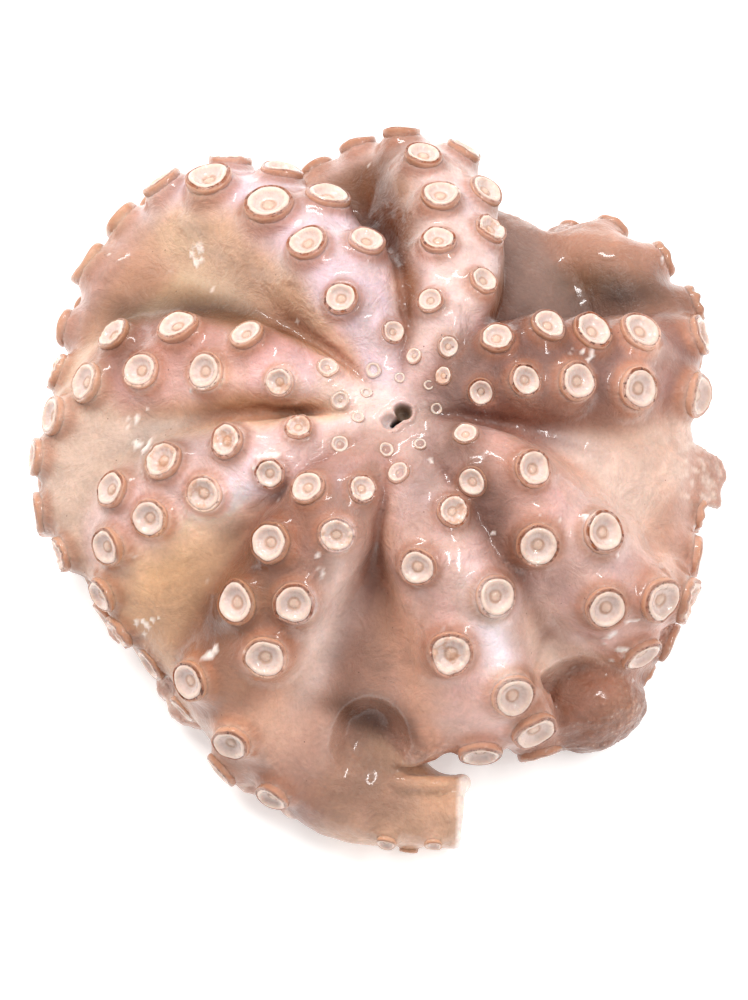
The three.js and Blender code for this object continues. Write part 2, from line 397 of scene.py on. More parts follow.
STAINS_AND_SHADES: tuple[StainAndShade, ...] = (
    # Next two rows: painted shadow in the pocket between the right and the top arm.
    StainAndShade((58, 41), 12, (32, 8), (0.46, 0.45, 0.45)),
    StainAndShade((77, 53), 5, (20, 9), (0.22, 0.2, 0.19)),
    # Painted shade in the valley between the top left and the left arm.
    StainAndShade((-66, 45), 148, (36, 8), (0.5, 0.42, 0.34)),
    StainAndShade((-74, 69), 137, (16, 9), (1.05, 1.2, 1.25)),
    StainAndShade((-74, -4), 180, (20, 8), (0.7, 0.76, 0.82)),
    StainAndShade((-57, 53), 137, (16, 10), (0.78, 0.8, 0.84)),
    StainAndShade((-47, -66), 234, (10, 8), (0.8, 0.9, 0.92)),
    StainAndShade((-30, -54), 240, (12, 5), (1.2, 1.35, 1.5)),
    StainAndShade((-71, -56), 215, (20, 14), (0.84, 0.83, 0.8)),
    # Painted highlight on the bottom left arm's flank towards the bottom arm.
    StainAndShade((-23, -64), 248, (25, 6), (1.9, 2.8, 3.6)),
    StainAndShade((-17, -84), 264, (17, 6), (0.6, 0.54, 0.5)),
    # Painted highlight on the bottom arm's flank towards the lower right arm.
    StainAndShade((34, -80), 293, (17, 6), (1.3, 1.8, 2.1)),
    StainAndShade((11, -109), 280, (12, 7), (1.25, 1.15, 1.0)),
    StainAndShade((51, -6), 355, (18, 6), (0.95, 1.08, 1.25)),
    StainAndShade((14, 12), 45, (13, 9), (0.62, 0.56, 0.5)),
    StainAndShade((-18, 4), 170, (19, 9), (1.45, 1.8, 1.9)),
    StainAndShade((-24, 25), 130, (14, 6), (1.4, 1.6, 1.8)),
    StainAndShade((-72, -33), 205, (16, 6), (1.3, 1.3, 1.2)),
    # Painted shade on the top arm's left flank.
    StainAndShade((0, 80), 92, (18, 5), (0.8, 0.66, 0.5)),
    # Next two rows: painted shade in the pocket by the severed tail and under the arch of web over it.
    StainAndShade((-13, -96), 350, (14, 4), (0.36, 0.28, 0.22)),
    StainAndShade((5, -104), 300, (10, 3), (0.4, 0.32, 0.27)),
    # Painted shadow under the web's edge above the pocket between the bottom and the lower right arm.
    StainAndShade((58, -77), 318, (18, 4), (0.8, 0.74, 0.72)),
    # Next two rows: painted shade in the valley between the top left and the left arm.
    StainAndShade((-86, 46), 170, (26, 7), (0.5, 0.48, 0.46)),
    StainAndShade((-56, 42), 165, (22, 6), (0.58, 0.53, 0.5)),
    StainAndShade((20, -13), 300, (17, 9), (0.5, 0.48, 0.45)),
    StainAndShade((32, -37), 285, (22, 8), (0.4, 0.36, 0.34)),
    StainAndShade((7, -28), 275, (12, 5), (0.76, 0.72, 0.7)),
    StainAndShade((-64, 11), 176, (34, 6), (1.45, 1.6, 1.65)),
    StainAndShade((84, 19), 80, (16, 13), (1.45, 1.5, 1.5)),
    StainAndShade((33, 40), 40, (9, 9), (1.5, 1.45, 1.42)),
    # Painted shade on the top arm's left flank.
    StainAndShade((-7, 71), 95, (16, 6), (0.54, 0.38, 0.32)),
    # Painted shadow in the pocket between the right and the top arm.
    StainAndShade((70, 60), 165, (20, 9), (0.48, 0.5, 0.46)),
    StainAndShade((-53, -30), 200, (17, 8), (1.55, 1.85, 2.2)),
    StainAndShade((-20, -32), 240, (9, 7), (1.22, 1.5, 1.85)),
    StainAndShade((-56, -53), 235, (22, 6), (0.62, 0.53, 0.46)),
    StainAndShade((-42, -99), 250, (18, 14), (1.45, 1.5, 1.45)),
    StainAndShade((-7, -82), 268, (24, 6), (0.7, 0.67, 0.62)),
    StainAndShade((-8, -120), 10, (13, 12), (0.56, 0.52, 0.52)),
    # Painted highlight between the bottom and the lower right arm.
    StainAndShade((48, -72), 300, (12, 9), (1.45, 2.0, 2.4)),
    StainAndShade((67, -43), 90, (24, 15), (1.08, 1.36, 1.55)),
    StainAndShade((30, -98), 290, (14, 9), (1.16, 1.16, 1.14)),
    StainAndShade((-98, 31), 90, (14, 8), (0.68, 0.66, 0.62)),
    StainAndShade((-86, -14), 190, (12, 7), (0.74, 0.74, 0.66)),
    StainAndShade((-47, -46), 235, (10, 7), (0.66, 0.57, 0.5)),
    StainAndShade((-61, -64), 235, (15, 7), (0.68, 0.56, 0.44)),
    StainAndShade((-56, -92), 240, (12, 10), (1.28, 1.4, 1.4)),
    StainAndShade((93, 18), 80, (14, 8), (1.35, 1.4, 1.4)),
    # Painted shade in the pocket between the top and the top left arm.
    StainAndShade((-19, 88), 100, (14, 7), (0.42, 0.4, 0.38)),
    StainAndShade((-61, 12), 176, (12, 5), (1.3, 1.45, 1.5)),
    StainAndShade((78, -80), 330, (10, 6), (1.3, 1.35, 1.35)),
    StainAndShade((95, 30), 80, (18, 12), (1.3, 1.35, 1.4)),
    StainAndShade((-95, 40), 100, (14, 10), (0.74, 0.7, 0.64)),
    StainAndShade((5, -33), 90, (14, 14), (0.78, 0.86, 0.9)),
    StainAndShade((68, 0), 355, (16, 6), (0.86, 0.74, 0.66)),
    StainAndShade((-34, 14), 170, (10, 7), (1.1, 1.2, 1.35)),
    StainAndShade((-82, -46), 215, (18, 12), (1.18, 1.16, 1.04)),
    StainAndShade((24, -66), 285, (28, 8), (1.06, 1.16, 1.2)),
    StainAndShade((2, 100), 0, (24, 8), (0.78, 0.75, 0.72)),
    # Painted highlight, with a pale torn edge, on the flesh in the pocket by the lower right arm.
    StainAndShade((78, -92), 0, (10, 8), (1.5, 1.75, 1.85)),
    StainAndShade((-61, -68), 235, (12, 8), (0.82, 0.74, 0.6)),
)

# Where the skin's film is torn into white flecks: x and y of the middle, and how far they are strewn.
FLECKS: tuple[tuple[float, float, float], ...] = (
    (-93, 3, 5), (-88, -7, 5), (-98, -36, 5), (-70, 66, 5), (-67, 11, 5), (-45, -17, 5), (-27, -56, 5),
    (-30, 60, 5), (62, -38, 5), (44, -38, 4), (-62, -78, 5), (76, -72, 6), (62, 22, 4), (20, 84, 4),
    (-86, -64, 5))

# A fold of skin over the severed tail, as points along its ridge, and its radius.
COLLAR: tuple[tuple[float, float, float], ...] = (
    (-14, -128, 10), (-11, -123, 17), (-7, -119, 23), (-1, -117.5, 27), (7, -117, 27.5), (16, -116.5, 25),
    (22, -115, 19))
COLLAR_RADIUS = 2.9

# The place of the severed arm among the arms.
SEVERED = next(index for index, arm in enumerate(ARMS) if arm.severed)


@dataclass(frozen=True)
class RegionTints:
    """Tints that the skin takes by region, over the arms' and the webs' own, and factors on the tint."""

    centre: Colour = pigment(240, 212, 204)
    weathered: Colour = pigment(192, 148, 128)
    # Painted shade in folds, hollows and the valleys between arms near the mouth.
    fold_shade_factor: Colour = (0.6, 0.47, 0.43)
    # Painted light on ridges, where little flesh stands round the skin.
    ridge_light: Colour = pigment(250, 226, 212)
    # Painted orange-brown shade round the foot of each stalk.
    stalk_foot_shade: Colour = pigment(176, 114, 78)
    whole_factor: Colour = (0.74, 0.655, 0.64)
    tail: Colour = pigment(178, 132, 110)
    stump: Colour = pigment(208, 166, 138)
    cut: Colour = pigment(250, 238, 230)
    fleck: Colour = pigment(240, 228, 220)
    torn: Colour = pigment(188, 138, 118)
    torn_streak: Colour = pigment(226, 196, 180)
    mouth_film: Colour = pigment(216, 200, 196)
    mouth_tan: Colour = pigment(128, 104, 86)
    # Painted shade in the mouth's hole.
    mouth_hole_shade: Colour = pigment(14, 7, 6)


REGIONS = RegionTints()


@dataclass(frozen=True)
class StalkShape:
    """A stalk's sizes in sucker radii: its half width, how it narrows, its bowl, its root, and its fillet."""

    width: float = 1.14
    narrowing: float = 0.36
    top_depth: float = 0.16
    bowl_depth: float = 0.42
    bowl_width: float = 0.7
    root_depth: float = 0.7
    fillet: float = 0.7


STALK = StalkShape()


@dataclass(frozen=True)
class Dome:
    """The dome, the mantle, the suckers' rows and the arms' stations.

    Sizes are in millimetres and angles in degrees. Climbs are stations in degrees up the dome, and turns are
    stations in shares of the wrap below it.
    """

    rim_height: float = 33.0
    crest_rise: float = 51.0
    web_rise: float = 39.5
    belly_height: float = 13.0
    mantle_half: tuple[float, float, float] = (52.0, 60.0, 30.0)
    mantle_middle: tuple[float, float, float] = (-4.0, -6.0, 26.0)
    mouth_dip: float = 8.0
    root_share: float = 0.34
    row_angle: float = 26.0
    tail_roll: float = -18.0
    climbs: tuple[float, ...] = (2, 20, 40, 59, 75)
    turns: tuple[float, ...] = (0.08, 0.22, 0.36, 0.52, 0.68, 0.84, 1)


DOME = Dome()


def spline(stations: Array, per_span: int) -> Array:
    """Centripetal Catmull-Rom line through stations.

    Formula: each span is the cubic through its two stations whose slopes come from the neighbouring stations,
    with knots spaced by the square root of the stations' distances. The line is mirrored past its two ends.

    Args:
        stations: points, one a row.
        per_span: samples in each span.

    Returns:
        Samples along the line, one a row.
    """
    padded = np.vstack([2 * stations[0] - stations[1], stations, 2 * stations[-1] - stations[-2]])
    p0, p1, p2, p3 = (padded[i:len(padded) - 3 + i][:, None, :] for i in range(4))
    pairs = ((p0, p1), (p1, p2), (p2, p3))
    k0, k1, k2 = (np.sqrt(np.linalg.norm(b - a, axis=-1, keepdims=True)) for a, b in pairs)
    leave = ((p1 - p0) / k0 - (p2 - p0) / (k0 + k1) + (p2 - p1) / k1) * k1
    arrive = ((p2 - p1) / k1 - (p3 - p1) / (k1 + k2) + (p3 - p2) / k2) * k1
    t = np.linspace(0, 1, per_span, endpoint=False)[None, :, None]
    line = ((2 * t**3 - 3 * t**2 + 1) * p1 + (t**3 - 2 * t**2 + t) * leave
            + (3 * t**2 - 2 * t**3) * p2 + (t**3 - t**2) * arrive)
    return np.vstack([line.reshape(-1, 3), stations[-1:]])


@dataclass
class Limb:
    """One arm's middle line, its frame and its radius, sampled evenly from the mouth to the tip."""

    plan: ArmPlan
    samples: int = 84
    middle: Array = field(init=False)
    along: Array = field(init=False)
    crest: Array = field(init=False)
    side: Array = field(init=False)
    girth: Array = field(init=False)
    share: Array = field(init=False)
    length: float = field(init=False)

    def __post_init__(self) -> None:
        """Works out the samples."""
        dense = spline(self._stations(), 24)
        steps = np.linalg.norm(np.diff(dense, axis=0), axis=1)
        run = np.concatenate([[0], np.cumsum(steps)])
        self.length = float(run[-1])
        self.share = np.linspace(0, 1, self.samples)
        self.middle = np.stack([np.interp(self.share * self.length, run, dense[:, k]) for k in range(3)], 1)
        self.along = unit(np.gradient(self.middle, axis=0))
        up = self.middle - np.array([0, 0, DOME.rim_height / 2])
        self.crest = unit(up - self.along * np.sum(up * self.along, axis=1, keepdims=True))
        self.side = np.cross(self.crest, self.along)
        self.girth = self.girth_at(self.share)

    def girth_at(self, share: Any) -> Any:
        """Radius at a share of the length: it swells from the mouth and tapers along the tail."""
        swell = between(DOME.root_share, 1, ease(share, 0, 0.24))
        return between(self.plan.girth * swell, self.plan.tip_girth, ease(share, 0.34, 1))

    def cup_at(self, share: Any) -> Any:
        """Sucker radius at a share of the length: small by the mouth and again along the tail."""
        grown = np.minimum(1, 1.1 * (1 - np.exp(-share / 0.13)))
        last = 0.45 if self.plan.severed else 0.25
        return self.plan.cup * grown * between(1, last, ease(share, 0.55, 0.95))

    def _stations(self) -> Array:
        """Points that the middle line goes through: out over the dome, over its rim, and round below it."""
        plan, count = self.plan, len(DOME.climbs) + len(DOME.turns) - 1
        root, half, rim = plan.bearings
        climb = np.radians(np.array(DOME.climbs, float))
        girth = self.girth_at(np.arange(len(climb)) / count)
        out = np.sin(climb)
        bearing = between(between(root, half, out * 2), between(half, rim, out * 2 - 1), out)
        dip = DOME.mouth_dip * (1 - ease(out, 0, 0.3))
        height = DOME.rim_height + (DOME.crest_rise - girth) * np.cos(climb) - dip
        over = ((plan.reach - girth) * out, bearing, height)
        turn = np.array(DOME.turns, float)
        girth = self.girth_at((len(climb) + np.arange(len(turn))) / count)
        early = turn < 0.3
        face = np.where(early, between(plan.reach, plan.tail_reach, turn / 0.3),
                        between(plan.tail_reach, plan.tip_reach, ease(turn, 0.3, 1.15)))
        height = np.where(early, between(DOME.rim_height, plan.tail_lift, turn / 0.3),
                          between(plan.tail_lift, girth, ease(turn, 0.3, 0.75)))
        tail = (face - girth, rim + plan.wrap * turn, height)
        distance, bearing, height = (np.concatenate(pair) for pair in zip(over, tail))
        angle = np.radians(bearing)
        return np.stack([distance * np.cos(angle), distance * np.sin(angle), height], 1)

    def frame_at(self, share: float) -> tuple[Array, Array, Array]:
        """Middle point, crest direction and side direction at a share of the length."""
        place = share * (self.samples - 1)
        found = [np.array([np.interp(place, np.arange(self.samples), rows[:, k]) for k in range(3)])
                 for rows in (self.middle, self.crest, self.side)]
        return found[0], unit(found[1]), unit(found[2])


def web_values(bearing: Array) -> tuple[Array, Array]:
    """Reach and sag of the web at each bearing, in degrees: averages of the gaps, weighted by nearness."""
    total, reach, drop = 0.0, 0.0, 0.0
    for arm, weight in zip(ARMS, gap_weights(bearing)):
        total, reach, drop = total + weight, reach + weight * arm.web_reach, drop + weight * arm.web_drop
    return reach / total, drop / total


def gap_weights(bearing: Array) -> list[Array]:
    """How much each gap between two arms counts at a bearing: a round bell about the gap's middle."""
    weights = []
    for index, arm in enumerate(ARMS):
        rim, following = arm.bearings[2], ARMS[(index + 1) % len(ARMS)].bearings[2]
        away = np.radians(bearing - (rim + ((following - rim) % 360) / 2))
        weights.append(np.exp(12 * (np.cos(away) - 1)))
    return weights


# --------------------------------------------------------------------------------------------------
# The body as a field of distances
# --------------------------------------------------------------------------------------------------


@dataclass
class Lattice:
    """A lattice of distances to the surface, negative inside, joined from fields worked out as whole arrays.

    The body has overhangs, tails that pass under arms, and fillets where they meet, which no single surface
    of two parameters can follow. So its surface is the zero level of this lattice.
    """

    low: tuple[float, float, float] = (-136.0, -146.0, -3.0)
    high: tuple[float, float, float] = (126.0, 128.0, 97.0)
    step: float = 1.5
    values: Array = field(init=False)
    axes: list[Array] = field(init=False)

    def __post_init__(self) -> None:
        """Lays out the lattice, with every point far outside."""
        self.axes = [np.arange(a, b, self.step, dtype=np.float32) for a, b in zip(self.low, self.high)]
        self.values = np.full([len(axis) for axis in self.axes], 60, np.float32)

    def window(self, low: Array, high: Array) -> tuple[tuple[slice, ...], list[Array]]:
        """The part of the lattice inside a box: its slices, and its coordinates ready to broadcast."""
        cuts = []
        for k in range(3):
            start = int(np.clip((low[k] - self.low[k]) / self.step, 0, len(self.axes[k]) - 1))
            stop = int(np.clip((high[k] - self.low[k]) / self.step + 2, start + 1, len(self.axes[k])))
            cuts.append(slice(start, stop))
        grids = np.ix_(*[axis[cut] for axis, cut in zip(self.axes, cuts)])
        return tuple(cuts), list(grids)

    def sample(self, points: Array, values: Array | None = None) -> Array:
        """Distances at any points: averages of the eight lattice points round each, weighted by nearness."""
        source = self.values if values is None else values
        cell = (points - np.array(self.low)) / self.step
        corner = np.clip(np.floor(cell).astype(int), 0, np.array(source.shape) - 2)
        share = np.clip(cell - corner, 0, 1)
        total = np.zeros(points.shape[:-1])
        for offset in np.ndindex(2, 2, 2):
            at = corner + np.array(offset)
            weight = np.prod(np.where(np.array(offset) == 1, share, 1 - share), axis=-1)
            total += weight * source[at[..., 0], at[..., 1], at[..., 2]]
        return total

    def slope(self, points: Array) -> Array:
        """Outward directions at points, from the differences of the field a lattice step apart."""
        reach = self.step * 0.8
        parts = [self.sample(points + reach * axis) - self.sample(points - reach * axis)
                 for axis in np.eye(3)]
        return unit(np.stack(parts, -1))

    def add_web(self) -> None:
        """Adds the web and the filled middle.

        Formula: an ellipsoid about the rim's level whose reach and rise follow the bearing.
        """
        _, (x, y, z) = self.window(np.array(self.low), np.array(self.high))
        bearing = np.degrees(np.arctan2(y, x))
        reach, drop = (np.asarray(part, np.float32) for part in web_values(bearing))
        flat = np.hypot(x, y)
        sag = drop * np.clip(flat / reach, 0, 1)
        rise = np.where(z > DOME.rim_height, DOME.web_rise - sag, DOME.rim_height - DOME.belly_height)
        scaled = (flat / reach, (z - DOME.rim_height) / rise)
        self.values = ellipsoid(scaled, (reach, rise)).astype(np.float32)

    def add_mantle(self) -> None:
        """Joins the mantle, an ellipsoid."""
        _, grids = self.window(np.array(self.low), np.array(self.high))
        scaled = [(g - m) / h for g, m, h in zip(grids, DOME.mantle_middle, DOME.mantle_half)]
        self.values = soft_join(self.values, ellipsoid(scaled, DOME.mantle_half), 5.0).astype(np.float32)

    def tube(self, middle: Array, girth: Array) -> Array:
        """Distance to a chain of tapered capsules.

        Formula: the distance to each span less the radius there, and the smallest of those.

        Args:
            middle: points along the middle line.
            girth: radius at each.

        Returns:
            Millimetres at every lattice point.
        """
        own = np.full(self.values.shape, 60, np.float32)
        for i in range(len(middle) - 1):
            a, b = middle[i], middle[i + 1]
            margin = max(girth[i], girth[i + 1]) + 13
            cuts, (x, y, z) = self.window(np.minimum(a, b) - margin, np.maximum(a, b) + margin)
            span = b - a
            t = np.clip(ahead_of((x, y, z), a, span) / float(span @ span), 0, 1)
            apart = np.sqrt((x - a[0] - t * span[0]) ** 2 + (y - a[1] - t * span[1]) ** 2
                            + (z - a[2] - t * span[2]) ** 2)
            np.minimum(own[cuts], apart - between(girth[i], girth[i + 1], t), out=own[cuts])
        return own

    def add_ridge(self, stations: Array, radius: float) -> None:
        """Joins a thin fold that runs through stations."""
        line = spline(stations, 6)
        fold = self.tube(line, np.full(len(line), radius))
        self.values = soft_join(self.values, fold, 2.5).astype(np.float32)

    def add_limb(self, limb: Limb) -> None:
        """Joins one arm with fillets that are wide over the dome and narrow below it."""
        middle, girth = limb.middle, limb.girth
        own = self.tube(middle, girth)
        if limb.plan.severed:
            tip, onward, reach = middle[-1], limb.along[-1], girth[-1] + 12
            cuts, grids = self.window(tip - reach, tip + reach)
            own[cuts] = np.maximum(own[cuts], ahead_of(grids, tip, onward))
        height = self.axes[2][None, None, :]
        flat = np.hypot(*np.ix_(self.axes[0], self.axes[1]))[:, :, None]
        low = 2.6
        if limb.plan.severed:
            x, y = np.ix_(self.axes[0], self.axes[1])
            from_tip = np.hypot(x - middle[-1, 0], y - middle[-1, 1])
            low = between(3.0, 15.0, ease(from_tip, 26, 46))[:, :, None]
        blend = between(low, between(4.0, 9.0, ease(flat, 30, 85)), ease(height, 26, 52)).astype(np.float32)
        self.values = soft_join(self.values, own, blend).astype(np.float32)

    def add_flap(self, flap: Flap, seed: int) -> None:
        """Joins one torn tongue of skin."""
        _, (x, y, z) = self.window(np.array(self.low), np.array(self.high))
        x, y = np.broadcast_arrays(x, y)
        self.values = soft_join(self.values, flap.field(x, y, z, seed), 2.0).astype(np.float32)

    def add_pocket(self, pocket: Pocket) -> None:
        """Hollows out an ellipsoid by a soft joining of the empty space, and joins lumpy flesh in it."""
        hollow, flesh = (pocket.middle, pocket.half, -1), (pocket.flesh_middle, pocket.flesh_half, 1)
        for middle, half, sign in (hollow, flesh):
            blend = pocket.soft if sign > 0 else 0.5 * (pocket.soft + 2.2)
            reach = np.array(half) + 2 * blend
            cuts, grids = self.window(np.array(middle) - reach, np.array(middle) + reach)
            scaled = [(g - m) / h for g, m, h in zip(grids, middle, half)]
            round_part = ellipsoid(scaled, half)
            if sign > 0:
                places = np.stack(np.broadcast_arrays(*grids), -1)
                round_part = round_part + 0.9 * lumps(places, 12, 83) + 0.5 * lumps(places, 5, 82)
            self.values[cuts] = sign * soft_join(sign * self.values[cuts], round_part, blend)

    def add_lumps(self) -> None:
        """Makes the whole surface uneven with two sizes of seeded noise."""
        points = np.stack(np.broadcast_arrays(*np.ix_(*[axis[::2] for axis in self.axes])), -1)
        coarse = 1.1 * lumps(points, 26, 3) + 0.55 * lumps(points, 11, 4)
        fine = np.repeat(np.repeat(np.repeat(coarse, 2, 0), 2, 1), 2, 2)
        fine = fine[:self.values.shape[0], :self.values.shape[1], :self.values.shape[2]]
        soft = fine.copy()
        for axis in range(3):
            soft = (np.roll(soft, 1, axis) + 2 * soft + np.roll(soft, -1, axis)) / 4
        self.values += soft

    def add_stalk(self, foot: Array, stands: Array, radius: float, rise: float) -> None:
        """Joins one sucker's stalk.

        Formula: a round stump that widens towards its foot, has a bowl in its top, and ends below its foot.

        Args:
            foot: where its axis leaves the skin.
            stands: its axis.
            radius: the sucker's radius.
            rise: its height over the foot.
        """
        margin = radius * 3.2
        cuts, grids = self.window(foot - margin, foot + margin)
        height = ahead_of(grids, foot, stands)
        square = sum((grid - start) ** 2 for grid, start in zip(grids, foot))
        away = np.sqrt(np.maximum(square - height**2, 0))
        wall = away - radius * (STALK.width - STALK.narrowing * np.clip(height / radius, -1, 1))
        bowl = np.clip(1.35 - away / (STALK.bowl_width * radius), 0, 1)
        lid = height - rise + radius * (STALK.top_depth + STALK.bowl_depth * bowl)
        ends = np.maximum(lid, -height - STALK.root_depth * radius)
        inside = np.minimum(np.maximum(wall, ends), 0)
        stump = inside + np.hypot(np.maximum(wall, 0), np.maximum(ends, 0))
        self.values[cuts] = soft_join(self.values[cuts], stump, radius * STALK.fillet)

    def flatten(self, level: float) -> None:
        """Cuts everything below a level, where the animal rests on the table."""
        height = self.axes[2][None, None, :]
        self.values = np.maximum(self.values, level - height)

    def fullness(self, radius: float) -> Array:
        """Share of flesh in a box round each lattice point: over a half in folds, under a half on ridges."""
        inside = np.clip(0.5 - self.values / self.step, 0, 1)
        half = max(1, int(round(radius / self.step)))
        for axis in range(3):
            pad = [(half + 1, half) if k == axis else (0, 0) for k in range(3)]
            total = np.cumsum(np.pad(inside, pad, mode="edge"), axis=axis)
            count = total.shape[axis]
            ahead = np.take(total, np.arange(2 * half + 1, count), axis=axis)
            behind = np.take(total, np.arange(0, count - 2 * half - 1), axis=axis)
            inside = (ahead - behind) / (2 * half + 1)
        return inside.astype(np.float32)

    def skin(self) -> tuple[Array, Array, Array]:
        """The zero level as a mesh: its points, quads and triangles."""
        grid = openvdb.FloatGrid(self.step * 3)
        grid.copyFromArray(np.clip(self.values, -3 * self.step, 3 * self.step))
        points, triangles, quads = grid.convertToPolygons(isovalue=0.0, adaptivity=0.0)
        return points.astype(float) * self.step + np.array(self.low), quads, triangles


# --------------------------------------------------------------------------------------------------
# Meshes in the row frame
# --------------------------------------------------------------------------------------------------


# The mouth's place along both sides of the solid's box, as a share, and the box's width in millimetres.
MOUTH_SHARE = 0.53554
SOLID_WIDTH = 232.129


@dataclass(frozen=True)
class Seat:
    """Where the animal stands in the row frame: its mouth's place and its scale."""

    mouth: tuple[float, float]
    scale: float

    @staticmethod
    def from_box(low: Vector, high: Vector) -> "Seat":
        """Finds the mouth from the shares of the solid's box at which it stands."""
        width, depth = high.x - low.x, high.y - low.y
        return Seat((low.x + MOUTH_SHARE * width, low.y + MOUTH_SHARE * depth), width / SOLID_WIDTH)

    def place(self, points: Array) -> Array:
        """Carries points from millimetres round the mouth into the row frame."""
        return np.asarray(points) * self.scale + np.array([self.mouth[0], self.mouth[1], 0.0])


def put(name: str, data: bpy.types.ID) -> bpy.types.Object:
    """Makes an object of a mesh, a lamp or a camera, and links it to the scene."""
    made = bpy.data.objects.new(name, data)
    bpy.context.scene.collection.objects.link(made)
    return made


def make_piece(name: str, points: Array, faces: Sequence[Array], seat: Seat) -> bpy.types.Object:
    """Makes a smooth mesh piece in the row frame.

    Args:
        name: the piece's name.
        points: positions in millimetres round the mouth.
        faces: arrays of corner indices, one for each number of corners.
        seat: where the animal stands.

    Returns:
        The linked object.
    """
    faces = [np.asarray(part, np.int32) for part in faces if len(part)]
    mesh = bpy.data.meshes.new(name)
    sizes = np.concatenate([np.full(len(part), part.shape[1], np.int32) for part in faces])
    corners = np.concatenate([part.ravel() for part in faces])
    mesh.vertices.add(len(points))
    mesh.vertices.foreach_set("co", seat.place(points).astype(np.float32).ravel())
    mesh.loops.add(len(corners))
    mesh.loops.foreach_set("vertex_index", corners)
    mesh.polygons.add(len(sizes))
    starts = np.concatenate([[0], np.cumsum(sizes)[:-1]])
    mesh.polygons.foreach_set("loop_start", starts.astype(np.int32))
    mesh.polygons.foreach_set("use_smooth", np.ones(len(sizes), bool))
    mesh.update(calc_edges=True)
    mesh.validate()
    return put(name, mesh)


def store(piece: bpy.types.Object, name: str, values: Array) -> None:
    """Writes one number or one colour for each point of a piece as an attribute."""
    if values.ndim == 1:
        made = piece.data.attributes.new(name, "FLOAT", "POINT")
        made.data.foreach_set("value", values.astype(np.float32))
        return
    full = np.concatenate([values, np.ones((len(values), 1))], 1).astype(np.float32)
    made = piece.data.attributes.new(name, "FLOAT_COLOR", "POINT")
    made.data.foreach_set("color", full.ravel())


# --------------------------------------------------------------------------------------------------
# Shader building
# --------------------------------------------------------------------------------------------------


class Signal:
    """A shader socket that carries a number, a colour or a vector and takes part in Python expressions."""

    def __init__(self, shop: "Shop", socket: bpy.types.NodeSocket) -> None:
        """Wraps a socket of the shop's node tree."""
        self.shop = shop
        self.socket = socket

    def _math(self, operation: str, *others: Any) -> "Signal":
        """Adds a Math node on this value and others."""
        node = self.shop.node("ShaderNodeMath", {"operation": operation}, dict(enumerate((self, *others))))
        return self.shop.signal(node, 0)

    def __add__(self, other: Any) -> "Signal":
        """Sum."""
        return self._math("ADD", other)

    __radd__ = __add__

    def __mul__(self, other: Any) -> "Signal":
        """Product."""
        return self._math("MULTIPLY", other)

    __rmul__ = __mul__

    def __sub__(self, other: Any) -> "Signal":
        """Difference."""
        return self._math("SUBTRACT", other)

    def __rsub__(self, other: Any) -> "Signal":
        """Difference from a number."""
        return (self * -1.0) + other

    def above(self, low: float, high: float) -> "Signal":
        """0 below low, 1 above high, smooth between."""
        settings = {"interpolation_type": "SMOOTHSTEP"}
        inputs = {"Value": self, "From Min": low, "From Max": high}
        node = self.shop.node("ShaderNodeMapRange", settings, inputs)
        return self.shop.signal(node, "Result")

    def below(self, low: float, high: float) -> "Signal":
        """1 below low, 0 above high, smooth between."""
        return 1 - self.above(low, high)


